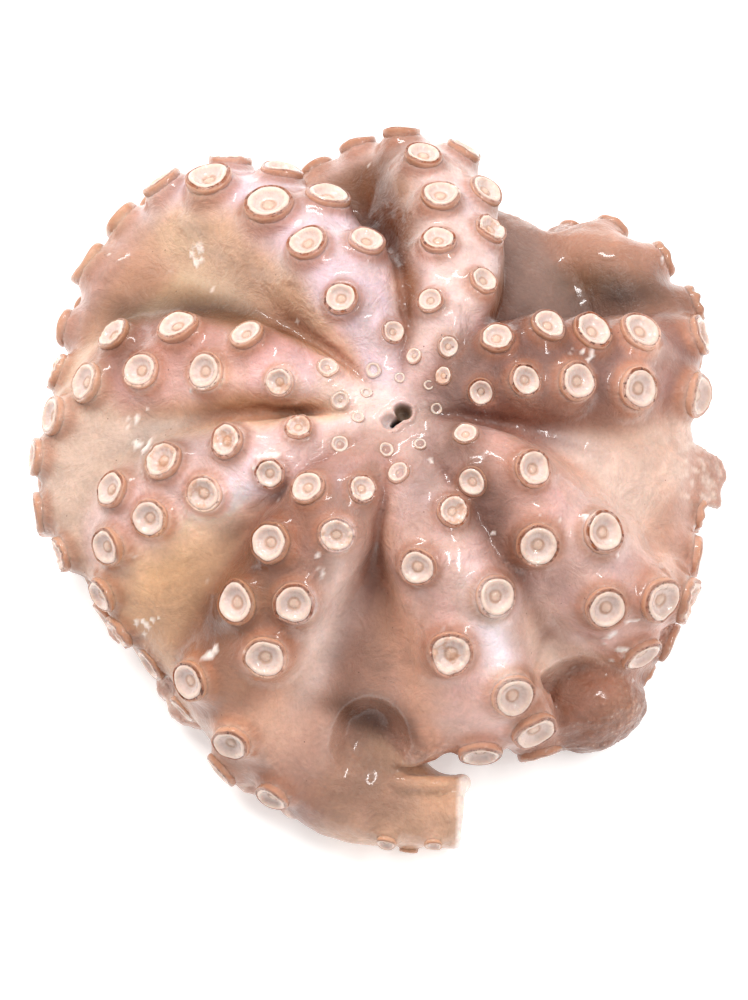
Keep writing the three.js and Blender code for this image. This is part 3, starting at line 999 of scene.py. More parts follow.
class Shop:
    """Builds one material's nodes."""

    def __init__(self, name: str) -> None:
        """Starts an empty material of that name."""
        self.material = bpy.data.materials.new(name)
        self.material.use_nodes = True
        self.tree = self.material.node_tree
        self.tree.nodes.clear()
        coordinates = self.node("ShaderNodeTexCoord", {}, {})
        self.place = self.signal(coordinates, "Object")

    def node(self, kind: str, settings: dict[str, Any], inputs: dict[Any, Any]) -> bpy.types.Node:
        """Adds a node.

        Args:
            kind: the node's type name.
            settings: properties, which are set first. "stops" gives a ramp's (position, colour) stops.
            inputs: values or signals, by socket name or number.

        Returns:
            The node.
        """
        made = self.tree.nodes.new(kind)
        for key, value in settings.items():
            if key == "stops":
                self._fill_ramp(made.color_ramp, value)
            else:
                setattr(made, key, value)
        for key, value in inputs.items():
            if isinstance(value, Signal):
                self.tree.links.new(value.socket, made.inputs[key])
            else:
                made.inputs[key].default_value = value
        return made

    @staticmethod
    def _fill_ramp(ramp: bpy.types.ColorRamp, stops: Sequence[tuple[float, Colour]]) -> None:
        """Gives a ramp its stops."""
        while len(ramp.elements) > 1:
            ramp.elements.remove(ramp.elements[-1])
        for index, (position, colour) in enumerate(stops):
            element = ramp.elements[0] if index == 0 else ramp.elements.new(position)
            element.position = position
            element.color = (*colour, 1)

    def signal(self, node: bpy.types.Node, output: Any) -> Signal:
        """One output of a node."""
        return Signal(self, node.outputs[output])

    def attribute(self, name: str, output: str = "Fac") -> Signal:
        """A mesh attribute, as a number, or as a colour with output "Color"."""
        return self.signal(self.node("ShaderNodeAttribute", {"attribute_name": name}, {}), output)

    def noise(self, scale: float, detail: float = 3.0, roughness: float = 0.55,
              distortion: float = 0.0) -> Signal:
        """Noise from about 0.3 to 0.7, with scale waves a metre."""
        inputs = {"Vector": self.place, "Scale": scale, "Detail": detail, "Roughness": roughness,
                  "Distortion": distortion}
        return self.signal(self.node("ShaderNodeTexNoise", {}, inputs), "Fac")

    def cells(self, scale: float) -> Signal:
        """Distance to the nearest of scattered points, scale of them a metre."""
        inputs = {"Vector": self.place, "Scale": scale, "Randomness": 1.0}
        return self.signal(self.node("ShaderNodeTexVoronoi", {"feature": "F1"}, inputs), "Distance")

    def mix(self, share: Any, one: Any, other: Any) -> Signal:
        """Mixes two colours."""
        first, second = (part if isinstance(part, Signal) else (*part, 1) for part in (one, other))
        node = self.node("ShaderNodeMix", {"data_type": "RGBA"}, {0: share, 6: first, 7: second})
        return self.signal(node, 2)

    def scale_colour(self, colour: Signal, amount: Any) -> Signal:
        """Brightens or darkens a colour by a number."""
        node = self.node("ShaderNodeVectorMath", {"operation": "SCALE"}, {0: colour, "Scale": amount})
        return self.signal(node, 0)

    def tinted(self, colour: Signal, filter_colour: Colour) -> Signal:
        """Multiplies a colour by another, channel by channel."""
        node = self.node("ShaderNodeVectorMath", {"operation": "MULTIPLY"}, {0: colour, 1: filter_colour})
        return self.signal(node, 0)

    def bump(self, height: Signal, distance: float, strength: float = 1.0) -> Signal:
        """Normals of a relief whose height is 1 at distance, in metres."""
        inputs = {"Strength": strength, "Distance": distance, "Height": height}
        return self.signal(self.node("ShaderNodeBump", {}, inputs), "Normal")

    def finish(self, inputs: dict[str, Any]) -> bpy.types.Material:
        """Ends in a Principled surface with these inputs."""
        surface = self.node("ShaderNodeBsdfPrincipled", {"subsurface_method": "RANDOM_WALK"}, inputs)
        self.node("ShaderNodeOutputMaterial", {}, {"Surface": self.signal(surface, 0)})
        return self.material


# --------------------------------------------------------------------------------------------------
# Finishes
# --------------------------------------------------------------------------------------------------


@dataclass(frozen=True)
class MoistFlesh:
    """Light that goes into the flesh and the wet film on it, shared by skin and cups."""

    depth: float = 0.0035
    weight: float = 0.35
    film: float = 0.6
    film_roughness: float = 0.1

    def inputs(self) -> dict[str, Any]:
        """The Principled inputs that are the same all over."""
        return {"Subsurface Weight": self.weight, "Subsurface Scale": self.depth,
                "Subsurface Radius": (1.0, 0.45, 0.3), "IOR": 1.4, "Coat Roughness": self.film_roughness,
                "Coat Weight": self.film}


@dataclass(frozen=True)
class SkinFinish:
    """The skin: tints laid on by region, mottling, lilac veils, dark specks, and grain on the outer skin."""

    flesh: MoistFlesh = MoistFlesh()
    lilac: Colour = pigment(246, 246, 255)
    pale: Colour = pigment(250, 234, 222)
    grain_dark: Colour = pigment(128, 84, 66)
    speck: Colour = pigment(84, 48, 32)

    def look(self, shop: Shop) -> tuple[Signal, Signal, Signal]:
        """Adds the skin's nodes.

        Args:
            shop: the material they go into.

        Returns:
            Colour, relief and roughness.
        """
        grain, crease, veil = (shop.attribute(name) for name in ("grain", "crease", "veil"))
        broad, middle, fine = shop.noise(55, 3), shop.noise(170, 4, 0.6, 0.6), shop.noise(700, 3, 0.6)
        tone = 1 + (broad - 0.5) * 0.36 + (middle - 0.5) * 0.36 + (fine - 0.5) * 0.34
        colour = shop.scale_colour(shop.attribute("tint", "Color"), tone)
        veiled = shop.tinted(shop.scale_colour(colour, 1.22), self.lilac)
        colour = shop.mix(veil * shop.noise(60, 4, 0.6, 0.8).above(0.4, 0.66) * 0.8, colour, veiled)
        lit = shop.noise(85, 5, 0.62, 0.7).above(0.5, 0.8) * 0.7
        colour = shop.mix(lit, colour, shop.scale_colour(colour, 1.35))
        pebbles = shop.cells(420)
        colour = shop.mix(grain * pebbles.above(0.25, 0.6) * 0.5, colour, self.grain_dark)
        colour = shop.mix(grain * pebbles.below(0.05, 0.24) * 0.3, colour, self.pale)
        speckle = shop.cells(240).below(0.035, 0.075) * shop.noise(46, 2).above(0.52, 0.6)
        colour = shop.mix(speckle * 0.85, colour, self.speck)
        folds = shop.noise(95, 4, 0.6, 1.2)
        relief = folds * 0.9 + middle * 0.35 + fine * (0.2 + crease * 0.1)
        relief = relief + grain * (pebbles * -0.9 + fine * 0.5)
        return colour, relief, 0.36 + (middle - 0.5) * 0.3 + grain * 0.12

    def build(self) -> bpy.types.Material:
        """Makes the material."""
        shop = Shop("moist_skin")
        colour, relief, rough = self.look(shop)
        bump = shop.bump(relief, 0.0016, 0.85)
        return shop.finish({"Base Color": colour, "Roughness": rough, "Normal": bump, **self.flesh.inputs()})


@dataclass(frozen=True)
class CupFinish:
    """The cups: skin on the wall under a band of painted shade, a thin broken brown line at the rim, and a
    cream disc with a tan middle, round whose button a ring of painted shade lies.
    """

    skin: SkinFinish = SkinFinish(MoistFlesh(depth=0.0025))
    # Painted orange-brown shade on the cup's outer wall below the rim.
    collar_shade: Colour = pigment(196, 138, 102)
    line: Colour = pigment(140, 76, 40)
    lip: Colour = pigment(221, 196, 182)
    disc: Colour = pigment(215, 191, 182)
    # Painted shade in the hollow round the middle's button.
    ring: Colour = pigment(196, 160, 142)
    middle: Colour = pigment(212, 181, 163)
    patch: Colour = pigment(186, 128, 88)
    burn: Colour = pigment(84, 40, 20)

    def build(self) -> bpy.types.Material:
        """Makes the material."""
        shop = Shop("sucker_cup")
        colour, relief, _ = self.skin.look(shop)
        run, rays, worn, edge = (shop.attribute(name) for name in ("run", "rays", "worn", "edge"))
        mottle = shop.noise(420, 3, 0.6)
        wobble = run + (mottle - 0.5) * 0.05
        # Painted shade: an orange-brown band on the cup's outer wall below the rim.
        colour = shop.mix(wobble.above(0.1, 0.3) * wobble.below(0.3, 0.4) * 0.5, colour, self.collar_shade)
        broken = shop.noise(240, 3, 0.6).above(0.42, 0.62)
        line = wobble.above(0.33, 0.38) * wobble.below(0.47, 0.505)
        colour = shop.mix(wobble.above(0.45, 0.48), colour, self.lip)
        # The ring stops paint shade in the hollow round the middle's button.
        stops = [(0.0, self.lip), (0.22, self.lip), (0.36, self.disc), (0.6, self.disc), (0.7, self.ring),
                 (0.78, self.ring), (0.88, self.middle), (1.0, self.middle)]
        inward = (wobble - 0.48) * (1 / 0.52)
        disc = shop.signal(shop.node("ShaderNodeValToRGB", {"stops": stops}, {"Fac": inward}), "Color")
        disc = shop.scale_colour(disc, 1 + (rays - 0.5) * 0.04 + (mottle - 0.5) * 0.4)
        disc = shop.mix(worn * shop.noise(240, 3, 0.6).above(0.48, 0.62) * 0.5, disc, self.patch)
        colour = shop.mix(wobble.above(0.48, 0.5), colour, disc)
        colour = shop.mix(line * edge * (0.45 + broken * 0.55), colour, self.line)
        colour = shop.mix(line * edge * shop.noise(560, 2, 0.6).above(0.56, 0.64) * 0.85, colour, self.burn)
        relief = relief * wobble.below(0.3, 0.4) + rays * 0.08 * wobble.above(0.5, 0.6)
        relief = relief + shop.noise(900, 3) * 0.4
        return shop.finish({"Base Color": colour, "Roughness": 0.3 + (mottle - 0.5) * 0.3,
                            "Normal": shop.bump(relief, 0.0008, 0.8), **self.skin.flesh.inputs()})


# --------------------------------------------------------------------------------------------------
# Body
# --------------------------------------------------------------------------------------------------


@dataclass(frozen=True)
class Seating:
    """Where suckers may stand: shares of an arm's length, millimetres, and factors on a radius."""

    dome_share: float = 0.43
    under_share: float = 0.45
    last_share: float = 0.95
    tip_share: float = 0.97
    least_cup: float = 1.6
    least_step: float = 2.6
    spacing: float = 1.75
    severed_spacing: float = 1.1
    tail_spacing: float = 0.62
    search: float = 16.0
    stride: float = 0.4
    under_reach: float = 86.0
    under_height: float = 28.0
    least_height: float = 5.0
    least_gap: float = 1.5
    overlap: float = 0.8


SEATING = Seating()


@dataclass(frozen=True)
class Sucker:
    """A sucker: its foot, the way it stands, a way across, radius, stalk's rise, and number on the arm."""

    foot: Array
    stands: Array
    along: Array
    radius: float
    rise: float
    number: int


@dataclass
class Nearest:
    """What lies near each point.

    Attributes:
        arm: the nearest arm's index.
        share: the share of its length.
        apart: millimetres to it.
        rival: millimetres to the next arm.
        weights: every arm's weight, one a column.
        turns: degrees round every arm from its crest, one a column.
    """

    arm: Array
    share: Array
    apart: Array
    rival: Array
    weights: Array
    turns: Array


@dataclass
class Body:
    """The fused body: webs, arms, mantle and the suckers' stalks."""

    limbs: list[Limb]
    seat: Seat
    flap_seed: int = 60
    lattice: Lattice = field(default_factory=Lattice)
    suckers: list[list[Sucker]] = field(default_factory=list)
    folds_small: Array | None = None
    folds_wide: Array | None = None

    def shape(self) -> None:
        """Joins every part of the body in the field, with a stalk under each sucker."""
        self.lattice.add_web()
        self.lattice.add_mantle()
        for limb in self.limbs:
            self.lattice.add_limb(limb)
        for index, flap in enumerate(FLAPS):
            self.lattice.add_flap(flap, self.flap_seed + 3 * index)
        for pocket in POCKETS:
            self.lattice.add_pocket(pocket)
        self.lattice.add_ridge(np.array(COLLAR, float), COLLAR_RADIUS)
        self.lattice.add_lumps()
        for index, limb in enumerate(self.limbs):
            self.suckers.append(self._seat_suckers(limb, index))
        for sucker in (one for row in self.suckers for one in row):
            self.lattice.add_stalk(sucker.foot, sucker.stands, sucker.radius, sucker.rise)
        self.lattice.flatten(0.3)

    def _sucker_shares(self, limb: Limb) -> list[float]:
        """Shares of the arm's length at which its suckers stand, over the dome and on along the tail."""
        crest = limb.middle + limb.crest * limb.girth[:, None]
        out = np.maximum.accumulate(np.hypot(crest[:, 0], crest[:, 1])[limb.share < SEATING.dome_share])
        out = out + np.arange(len(out)) * 1e-6
        shares = [float(np.interp(distance, out, limb.share[:len(out)])) for distance in limb.plan.suckers]
        apart = SEATING.severed_spacing if limb.plan.severed else SEATING.tail_spacing
        while limb.cup_at(shares[-1]) > SEATING.least_cup and shares[-1] < SEATING.last_share:
            step = SEATING.spacing * max(float(limb.cup_at(shares[-1])), SEATING.least_step) * apart
            shares.append(shares[-1] + step / limb.length)
        return shares

    def _seat_suckers(self, limb: Limb, index: int) -> list[Sucker]:
        """Finds where each sucker's foot meets the skin, in a straight line out from the arm's middle.

        A sucker is left out at the tip, under the web, on the table, close in front of other skin, in a
        pocket, and on top of another sucker.
        """
        random = np.random.default_rng(100 + index)
        found = []
        for number, share in enumerate(self._sucker_shares(limb)):
            if share > SEATING.tip_share:
                continue
            side = limb.plan.first_side * (1 if number % 2 == 0 else -1)
            middle, crest, sideways = limb.frame_at(share)
            aside = side * DOME.row_angle * random.uniform(0.9, 1.1)
            lean = limb.plan.lean + DOME.tail_roll * float(ease(share, 0.42, 0.58)) * (not limb.plan.severed)
            stands, facing = (unit(crest * math.cos(turn) + sideways * math.sin(turn))
                              for turn in np.radians([lean + aside, lean + 0.45 * aside]))
            girth = limb.girth_at(share)
            reach = np.arange(0.4 * girth, girth + SEATING.search, SEATING.stride)
            line = middle + stands * reach[:, None]
            outside = np.nonzero(self.lattice.sample(line) > 0)[0]
            if not len(outside):
                continue
            foot = line[outside[0]]
            out = np.hypot(foot[0], foot[1])
            under = share > SEATING.under_share and out < SEATING.under_reach
            if under and foot[2] > SEATING.under_height:
                continue
            gap = self.lattice.sample(foot + stands * np.array([[4.0], [9.0]])).min()
            if foot[2] < SEATING.least_height or gap < SEATING.least_gap:
                continue
            if any(pocket.holds(foot) for pocket in POCKETS):
                continue
            radius = float(limb.cup_at(share)) * random.uniform(0.93, 1.06)
            if any(np.linalg.norm(foot - one.foot) < SEATING.overlap * (radius + one.radius)
                   for one in sum(self.suckers, found)):
                continue
            inner = 1 - float(ease(out, 20, 50))
            tilt = unit(facing + between(0.25, 2.0, inner) * self.lattice.slope(foot[None])[0])
            along = unit(np.cross(tilt, np.cross(crest, sideways)))
            rise = radius * between(between(0.46, 0.62, float(ease(share, 0.3, 0.5))), 0.12, inner)
            found.append(Sucker(foot, tilt, along, radius, rise, number))
        return found

    def nearest(self, points: Array) -> Nearest:
        """Finds each point's nearest arm.

        Formula: the distance to each of an arm's samples less the radius there, and the smallest of those.
        The turn is the angle round the arm from its crest towards its side. An arm's weight falls off as its
        distance grows past the nearest one's.
        """
        block = 20000
        apart, share, turns = (np.zeros((len(points), len(self.limbs))) for _ in range(3))
        for index, limb in enumerate(self.limbs):
            for start in range(0, len(points), block):
                rows = slice(start, start + block)
                part = points[rows]
                reach = np.linalg.norm(part[:, None] - limb.middle[None], axis=2) - limb.girth[None]
                pick = reach.argmin(1)
                away = part - limb.middle[pick]
                apart[rows, index] = reach.min(1)
                share[rows, index] = limb.share[pick]
                sideways, upward = (np.sum(away * way[pick], 1) for way in (limb.side, limb.crest))
                turns[rows, index] = np.degrees(np.arctan2(sideways, upward))
        arm = apart.argmin(1)
        closest, rival = np.partition(apart, 1, axis=1)[:, :2].T
        weights = np.exp(-(apart - closest[:, None]) / 2.2)
        weights /= weights.sum(1, keepdims=True)
        return Nearest(arm, share[np.arange(len(points)), arm], closest, rival, weights, turns)

    def tints(self, points: Array) -> dict[str, Array]:
        """Works out the skin's tint and its masks at points.

        Formula: over the plain tints come, one after another, pale skin round the mouth, weathered skin low
        on the outside, painted shade that darkens and warms the folds with painted light on the ridges, rings
        of painted shade round the stalks' feet, tails, pockets, the stump, stains with painted shade and
        painted highlights among them, flecks, torn skin and the mouth, whose dark core is painted shade.

        Args:
            points: positions in millimetres.

        Returns:
            tint, grain, crease, veil and fleck.
        """
        near = self.nearest(points)
        flat = np.hypot(points[:, 0], points[:, 1])
        wander = lumps(points, 17, 21)
        on_arm = 1 - ease(near.apart + 2.5 * wander, 0.5, 8)
        lean = np.array([arm.lean for arm in ARMS])
        high = near.weights * (1 - ease(np.abs(near.turns - lean) + 14 * wander[:, None], 30, 74))
        on_crest = on_arm * high.sum(1)
        stump = (near.arm == SEVERED) * (near.share > 0.5) * ease(near.rival - near.apart, 0, 9)
        fold = self.lattice.sample(points, self.folds_small)
        grain = self._weathering(points, flat, wander, on_crest) * (1 - 0.8 * stump)
        crease = self._creases(points, flat, near, fold)
        tint = self._plain_tints(points, near, on_arm, high)
        tint = lay(tint, REGIONS.centre, 0.45 * (1 - ease(flat + 6 * wander, 6, 42)))
        tint = lay(tint, REGIONS.weathered, 0.5 * grain)
        # Painted shade: folds, hollows and the valleys between arms near the mouth are darkened and warmed.
        tint = tint * lay(1.0, REGIONS.fold_shade_factor, crease)
        # Painted light: ridges are paler where little flesh stands round them.
        tint = lay(tint, REGIONS.ridge_light, 0.3 * ease(fold, 0.46, 0.3))
        # Painted shade: an orange-brown ring round the foot of each stalk.
        tint = lay(tint, REGIONS.stalk_foot_shade, 0.6 * self._stalk_rings(points))
        tint = tint * np.array(REGIONS.whole_factor)
        tail = ease(near.share, 0.44, 0.56) * on_arm * (near.arm != SEVERED)
        tint = lay(tint, REGIONS.tail, 0.7 * tail)
        tint = self._pocket_tints(points, tint)
        tint = lay(tint, REGIONS.stump, 0.8 * stump * ease(near.share, 0.72, 0.84))
        # Stains of the skin's own colour, with painted shade and painted highlights among them.
        for patch in STAINS_AND_SHADES:
            tint = tint * lay(1.0, patch.factor, patch.strength(points, wander))
        tint = np.minimum(tint, 0.9)
        end = self.limbs[SEVERED]
        cut = ease((points - end.middle[-1]) @ end.along[-1], -2.5, -0.8) * stump
        tint = lay(tint, REGIONS.cut, 0.85 * cut)
        fleck = self._flecks(points)
        tint = lay(tint, REGIONS.fleck, 0.8 * fleck * (points[:, 2] > FLECK_FLOOR))
        fray = self._fray(points)
        streak = ease(lumps(points * np.array([1, 1, 0.4]), 2.2, 55), -0.1, 0.5)
        torn = lay(np.array(REGIONS.torn), REGIONS.torn_streak, streak)
        tint = between(tint, torn, (0.75 * fray)[:, None])
        dark, tan, film = self._mouth(points)[1:]
        tint = lay(tint, REGIONS.mouth_film, 0.7 * film)
        tint = lay(tint, REGIONS.mouth_tan, tan)
        # Painted shade: the core of the mouth's hole is painted almost black.
        tint = lay(tint, REGIONS.mouth_hole_shade, dark)
        veil = np.clip(on_crest + 0.8 * (1 - ease(flat, 20, 60)), 0, 1) * (1 - dark)
        grain = grain * (1 - 0.6 * fray)
        return {"tint": tint, "grain": grain, "crease": crease, "veil": veil, "fleck": fleck}

    @staticmethod
    def _plain_tints(points: Array, near: Nearest, on_arm: Array, high: Array) -> Array:
        """Tints of webs, flanks and crests.

        Formula: the web's tint is the average of the gaps', weighted by nearness. Over an arm it turns into
        the flank's tint, and near the crest into the crest's.

        Args:
            points: positions in millimetres.
            near: the arms near them.
            on_arm: how surely each point is on an arm.
            high: every arm's weight near its crest.

        Returns:
            A tint for each point.
        """
        bearing = np.degrees(np.arctan2(points[:, 1], points[:, 0]))
        weights = np.stack(gap_weights(bearing), 1) ** 2
        web = weights @ np.array([arm.web for arm in ARMS]) / weights.sum(1, keepdims=True)
        flank, crest = (np.array([getattr(arm, name) for arm in ARMS]) for name in ("flank", "crest"))
        return between(web, near.weights @ flank + high @ (crest - flank), on_arm[:, None])

    @staticmethod
    def _weathering(points: Array, flat: Array, wander: Array, on_crest: Array) -> Array:
        """How grainy the skin is: on the outside of the rim except on crests, and near the table."""
        outer = ease(52 - points[:, 2] + 7 * wander, 8, 26) * ease(flat, 70, 100)
        lower = ease(26 - points[:, 2], 0, 12)
        return np.clip(np.maximum(outer * (1 - 0.75 * on_crest), 0.7 * lower), 0, 1)

    def _creases(self, points: Array, flat: Array, near: Nearest, fold: Array) -> Array:
        """How deep in a fold points lie, which is the share of painted shade there: in narrow and wide
        hollows, and between two arms near the mouth.
        """
        wide = self.lattice.sample(points, self.folds_wide)
        valley = np.exp(-(((near.rival - near.apart) / 2.6) ** 2))
        valley = valley * (1 - ease(flat, 48, 80)) * ease(flat, 7, 16)
        return np.clip(ease(fold, 0.53, 0.72) * 0.7 + ease(wide, 0.56, 0.76) * 0.5 + 0.6 * valley, 0, 1)

    @staticmethod
    def _flecks(points: Array) -> Array:
        """How surely points lie on a torn white fleck: fine noise above a level that is lower at FLECKS."""
        x, y = points[:, 0], points[:, 1]
        strewn = sum(np.exp(-((np.hypot(x - at_x, y - at_y) / reach) ** 2)) for at_x, at_y, reach in FLECKS)
        torn = lumps(points, 1.9, 71) + 0.5 * lumps(points, 4.2, 72)
        return ease(torn + 0.9 * np.clip(strewn, 0, 1), 1.05, 1.3)

    @staticmethod
    def _pocket_tints(points: Array, tint: Array) -> Array:
        """Tints the flesh in the pockets: the nearer its ellipsoid's surface a point lies, the more."""
        for pocket in POCKETS:
            near = 1 - ease(np.abs(pocket.flesh_share(points) - 1), 0.06, 0.2)
            tint = lay(tint, pocket.tint, 0.85 * near)
        return tint

    def _fray(self, points: Array) -> Array:
        """How surely points lie on a torn tongue of skin, from 0 to 1."""
        found = np.zeros(len(points))
        for index, flap in enumerate(FLAPS):
            apart = flap.field(*points.T, self.flap_seed + 3 * index)
            past = ease(np.hypot(points[:, 0], points[:, 1]), flap.inner - 4, flap.inner + 5)
            found = np.maximum(found, past * (1 - ease(apart, 0.8, 2.6)))
        return found

    @staticmethod
    def _mouth(points: Array) -> tuple[Array, Array, Array, Array]:
        """Depth, darkness, tan share and film share of the mouth, two rounds with a dark core between.
        The core's darkness is painted shade in the mouth's hole.

        Formula: each round is a steep pit whose depth follows the eased distance inside its uneven outline,
        and a low lip stands round both. The lower left one is covered by a pale film except at the core.
        """
        x, y = points[:, 0], points[:, 1]
        near = (np.hypot(x, y) < 12) & (points[:, 2] > MOUTH_FLOOR)
        wave = 0.5 * lumps(points, 2.6, 51)
        right = np.hypot(x - 1.2, y - 0.2) + wave
        left = np.hypot(x + 3.2, (y + 3.4) / 1.05) + wave
        core = np.hypot((x + 1.0 - 0.5 * (y + 3.0)) / 1.15, (y + 3.0) / 1.1) + wave
        pits = ((5.5, right, 1.5, 3.2), (3.5, left, 1.4, 3.0), (11, core, 0.9, 2.0))
        pit = np.max([depth * (1 - ease(away, inner, outer)) for depth, away, inner, outer in pits], axis=0)
        lip = 0.7 * np.exp(-(((np.minimum(right, left) - 3.9) / 0.9) ** 2)) * (pit < 1)
        dark = 1 - ease(core, 1.1, 1.9)
        tan, film = 1 - ease(right, 2.2, 3.2), 1 - ease(left, 1.9, 3.1)
        return (pit - lip) * near, dark * near, tan * near, film * near

    def _stalk_rings(self, points: Array) -> Array:
        """How near points are to the foot of a sucker's stalk, where a ring of painted shade goes.

        Formula: a bell about 1.16 of the sucker's radius from its axis, which fades away along the axis.
        Small suckers have a fainter ring.
        """
        ring = np.zeros(len(points))
        for one in (one for row in self.suckers for one in row):
            close = np.nonzero(np.abs(points - one.foot).max(1) < 2 * one.radius)[0]
            apart = points[close] - one.foot
            height = apart @ one.stands
            away = np.linalg.norm(apart - height[:, None] * one.stands, axis=1) / one.radius
            bell = np.exp(-(((away - 1.16) / 0.22) ** 2)) * (1 - ease(np.abs(height) / one.radius, 0.8, 1.3))
            ring[close] = np.maximum(ring[close], bell * ease(one.radius, 2.0, 5.5))
        return ring

    def _relax(self, points: Array, faces: Array, rounds: int) -> Array:
        """Evens out the mesh and puts it back on the zero level.

        Formula: each point moves half way to the average of its faces' other corners, and then along the
        field's slope by the distance that the field gives there.
        """
        for _ in range(rounds):
            total = np.zeros_like(points)
            count = np.zeros(len(points))
            corners = faces.shape[1]
            for k in range(corners):
                for step in (1, corners - 1):
                    np.add.at(total, faces[:, k], points[faces[:, (k + step) % corners]])
                    np.add.at(count, faces[:, k], 1)
            average = np.where(count[:, None] > 0, total / np.maximum(count, 1)[:, None], points)
            points = between(points, average, 0.5)
            points = points - self.lattice.slope(points) * self.lattice.sample(points)[:, None]
        return points

    def _details(self, points: Array, masks: dict[str, Array]) -> Array:
        """Pushes the skin in and out: wrinkles, pebbles on the outer skin, raised flecks, and the mouth."""
        out = self.lattice.slope(points)
        fine = lumps(points, 3.4, 31) + 0.6 * lumps(points, 6.5, 32)
        stretch = np.array([1.0, 1.0, 2.2])
        pebble = np.abs(lumps(points * stretch, 4.4, 33)) + 0.5 * np.abs(lumps(points, 8, 34))
        push = 0.12 * fine + masks["crease"] * 0.22 * fine + masks["grain"] * (0.45 - pebble)
        push = push + 0.5 * masks["fleck"]
        moved = points + out * push[:, None]
        moved[:, 2] -= self._mouth(points)[0]
        return moved

    @staticmethod
    def _refine(points: Array, quads: Array, triangles: Array, reach: float) -> tuple[Array, Array, Array]:
        """Cuts the mesh finer round the mouth: three cuts in every edge.

        Args:
            points: positions in millimetres.
            quads: corner indices of the four-sided faces.
            triangles: corner indices of the three-sided faces.
            reach: how far from the mouth's axis edges are cut.

        Returns:
            The new points, quads and triangles.
        """
        mesh = bpy.data.meshes.new("draft")
        mesh.from_pydata(points, [], quads.tolist() + triangles.tolist())
        ends = np.zeros(len(mesh.edges) * 2, int)
        mesh.edges.foreach_get("vertices", ends)
        close = (np.hypot(points[:, 0], points[:, 1]) < reach) & (points[:, 2] > MOUTH_FLOOR)
        chosen = np.nonzero(close[ends.reshape(-1, 2)].all(1))[0]
        draft = bmesh.new()
        draft.from_mesh(mesh)
        draft.edges.ensure_lookup_table()
        bmesh.ops.subdivide_edges(draft, edges=[draft.edges[i] for i in chosen], cuts=3, use_grid_fill=True)
        bmesh.ops.triangulate(draft, faces=[face for face in draft.faces if len(face.verts) > 4])
        draft.to_mesh(mesh)
        draft.free()
        finer = np.zeros(len(mesh.vertices) * 3)
        mesh.vertices.foreach_get("co", finer)
        corners = np.zeros(len(mesh.loops), int)
        mesh.loops.foreach_get("vertex_index", corners)
        starts, sizes = np.zeros(len(mesh.polygons), int), np.zeros(len(mesh.polygons), int)
        mesh.polygons.foreach_get("loop_start", starts)
        mesh.polygons.foreach_get("loop_total", sizes)
        bpy.data.meshes.remove(mesh)
        quads, triangles = (corners[starts[sizes == n][:, None] + np.arange(n)] for n in (4, 3))
        return finer.reshape(-1, 3), quads, triangles

    def build(self) -> bpy.types.Object:
        """Makes the body's mesh and dresses it."""
        self.folds_small = self.lattice.fullness(5.5)
        self.folds_wide = self.lattice.fullness(13.0)
        points, quads, triangles = self.lattice.skin()
        log.info("body: %d points, %d quads, %d triangles", len(points), len(quads), len(triangles))
        points = self._relax(points, quads, 4)
        points, quads, triangles = self._refine(points, quads, triangles, 9.0)
        masks = self.tints(points)
        points = self._details(points, masks)
        points[:, 2] = np.maximum(points[:, 2], 0.05)
        piece = make_piece("body", points, [quads[:, ::-1], triangles[:, ::-1]], self.seat)
        for name, values in masks.items():
            store(piece, name, values)
        piece.data.materials.append(SkinFinish().build())
        return piece


# --------------------------------------------------------------------------------------------------
# Sucker cups
# --------------------------------------------------------------------------------------------------


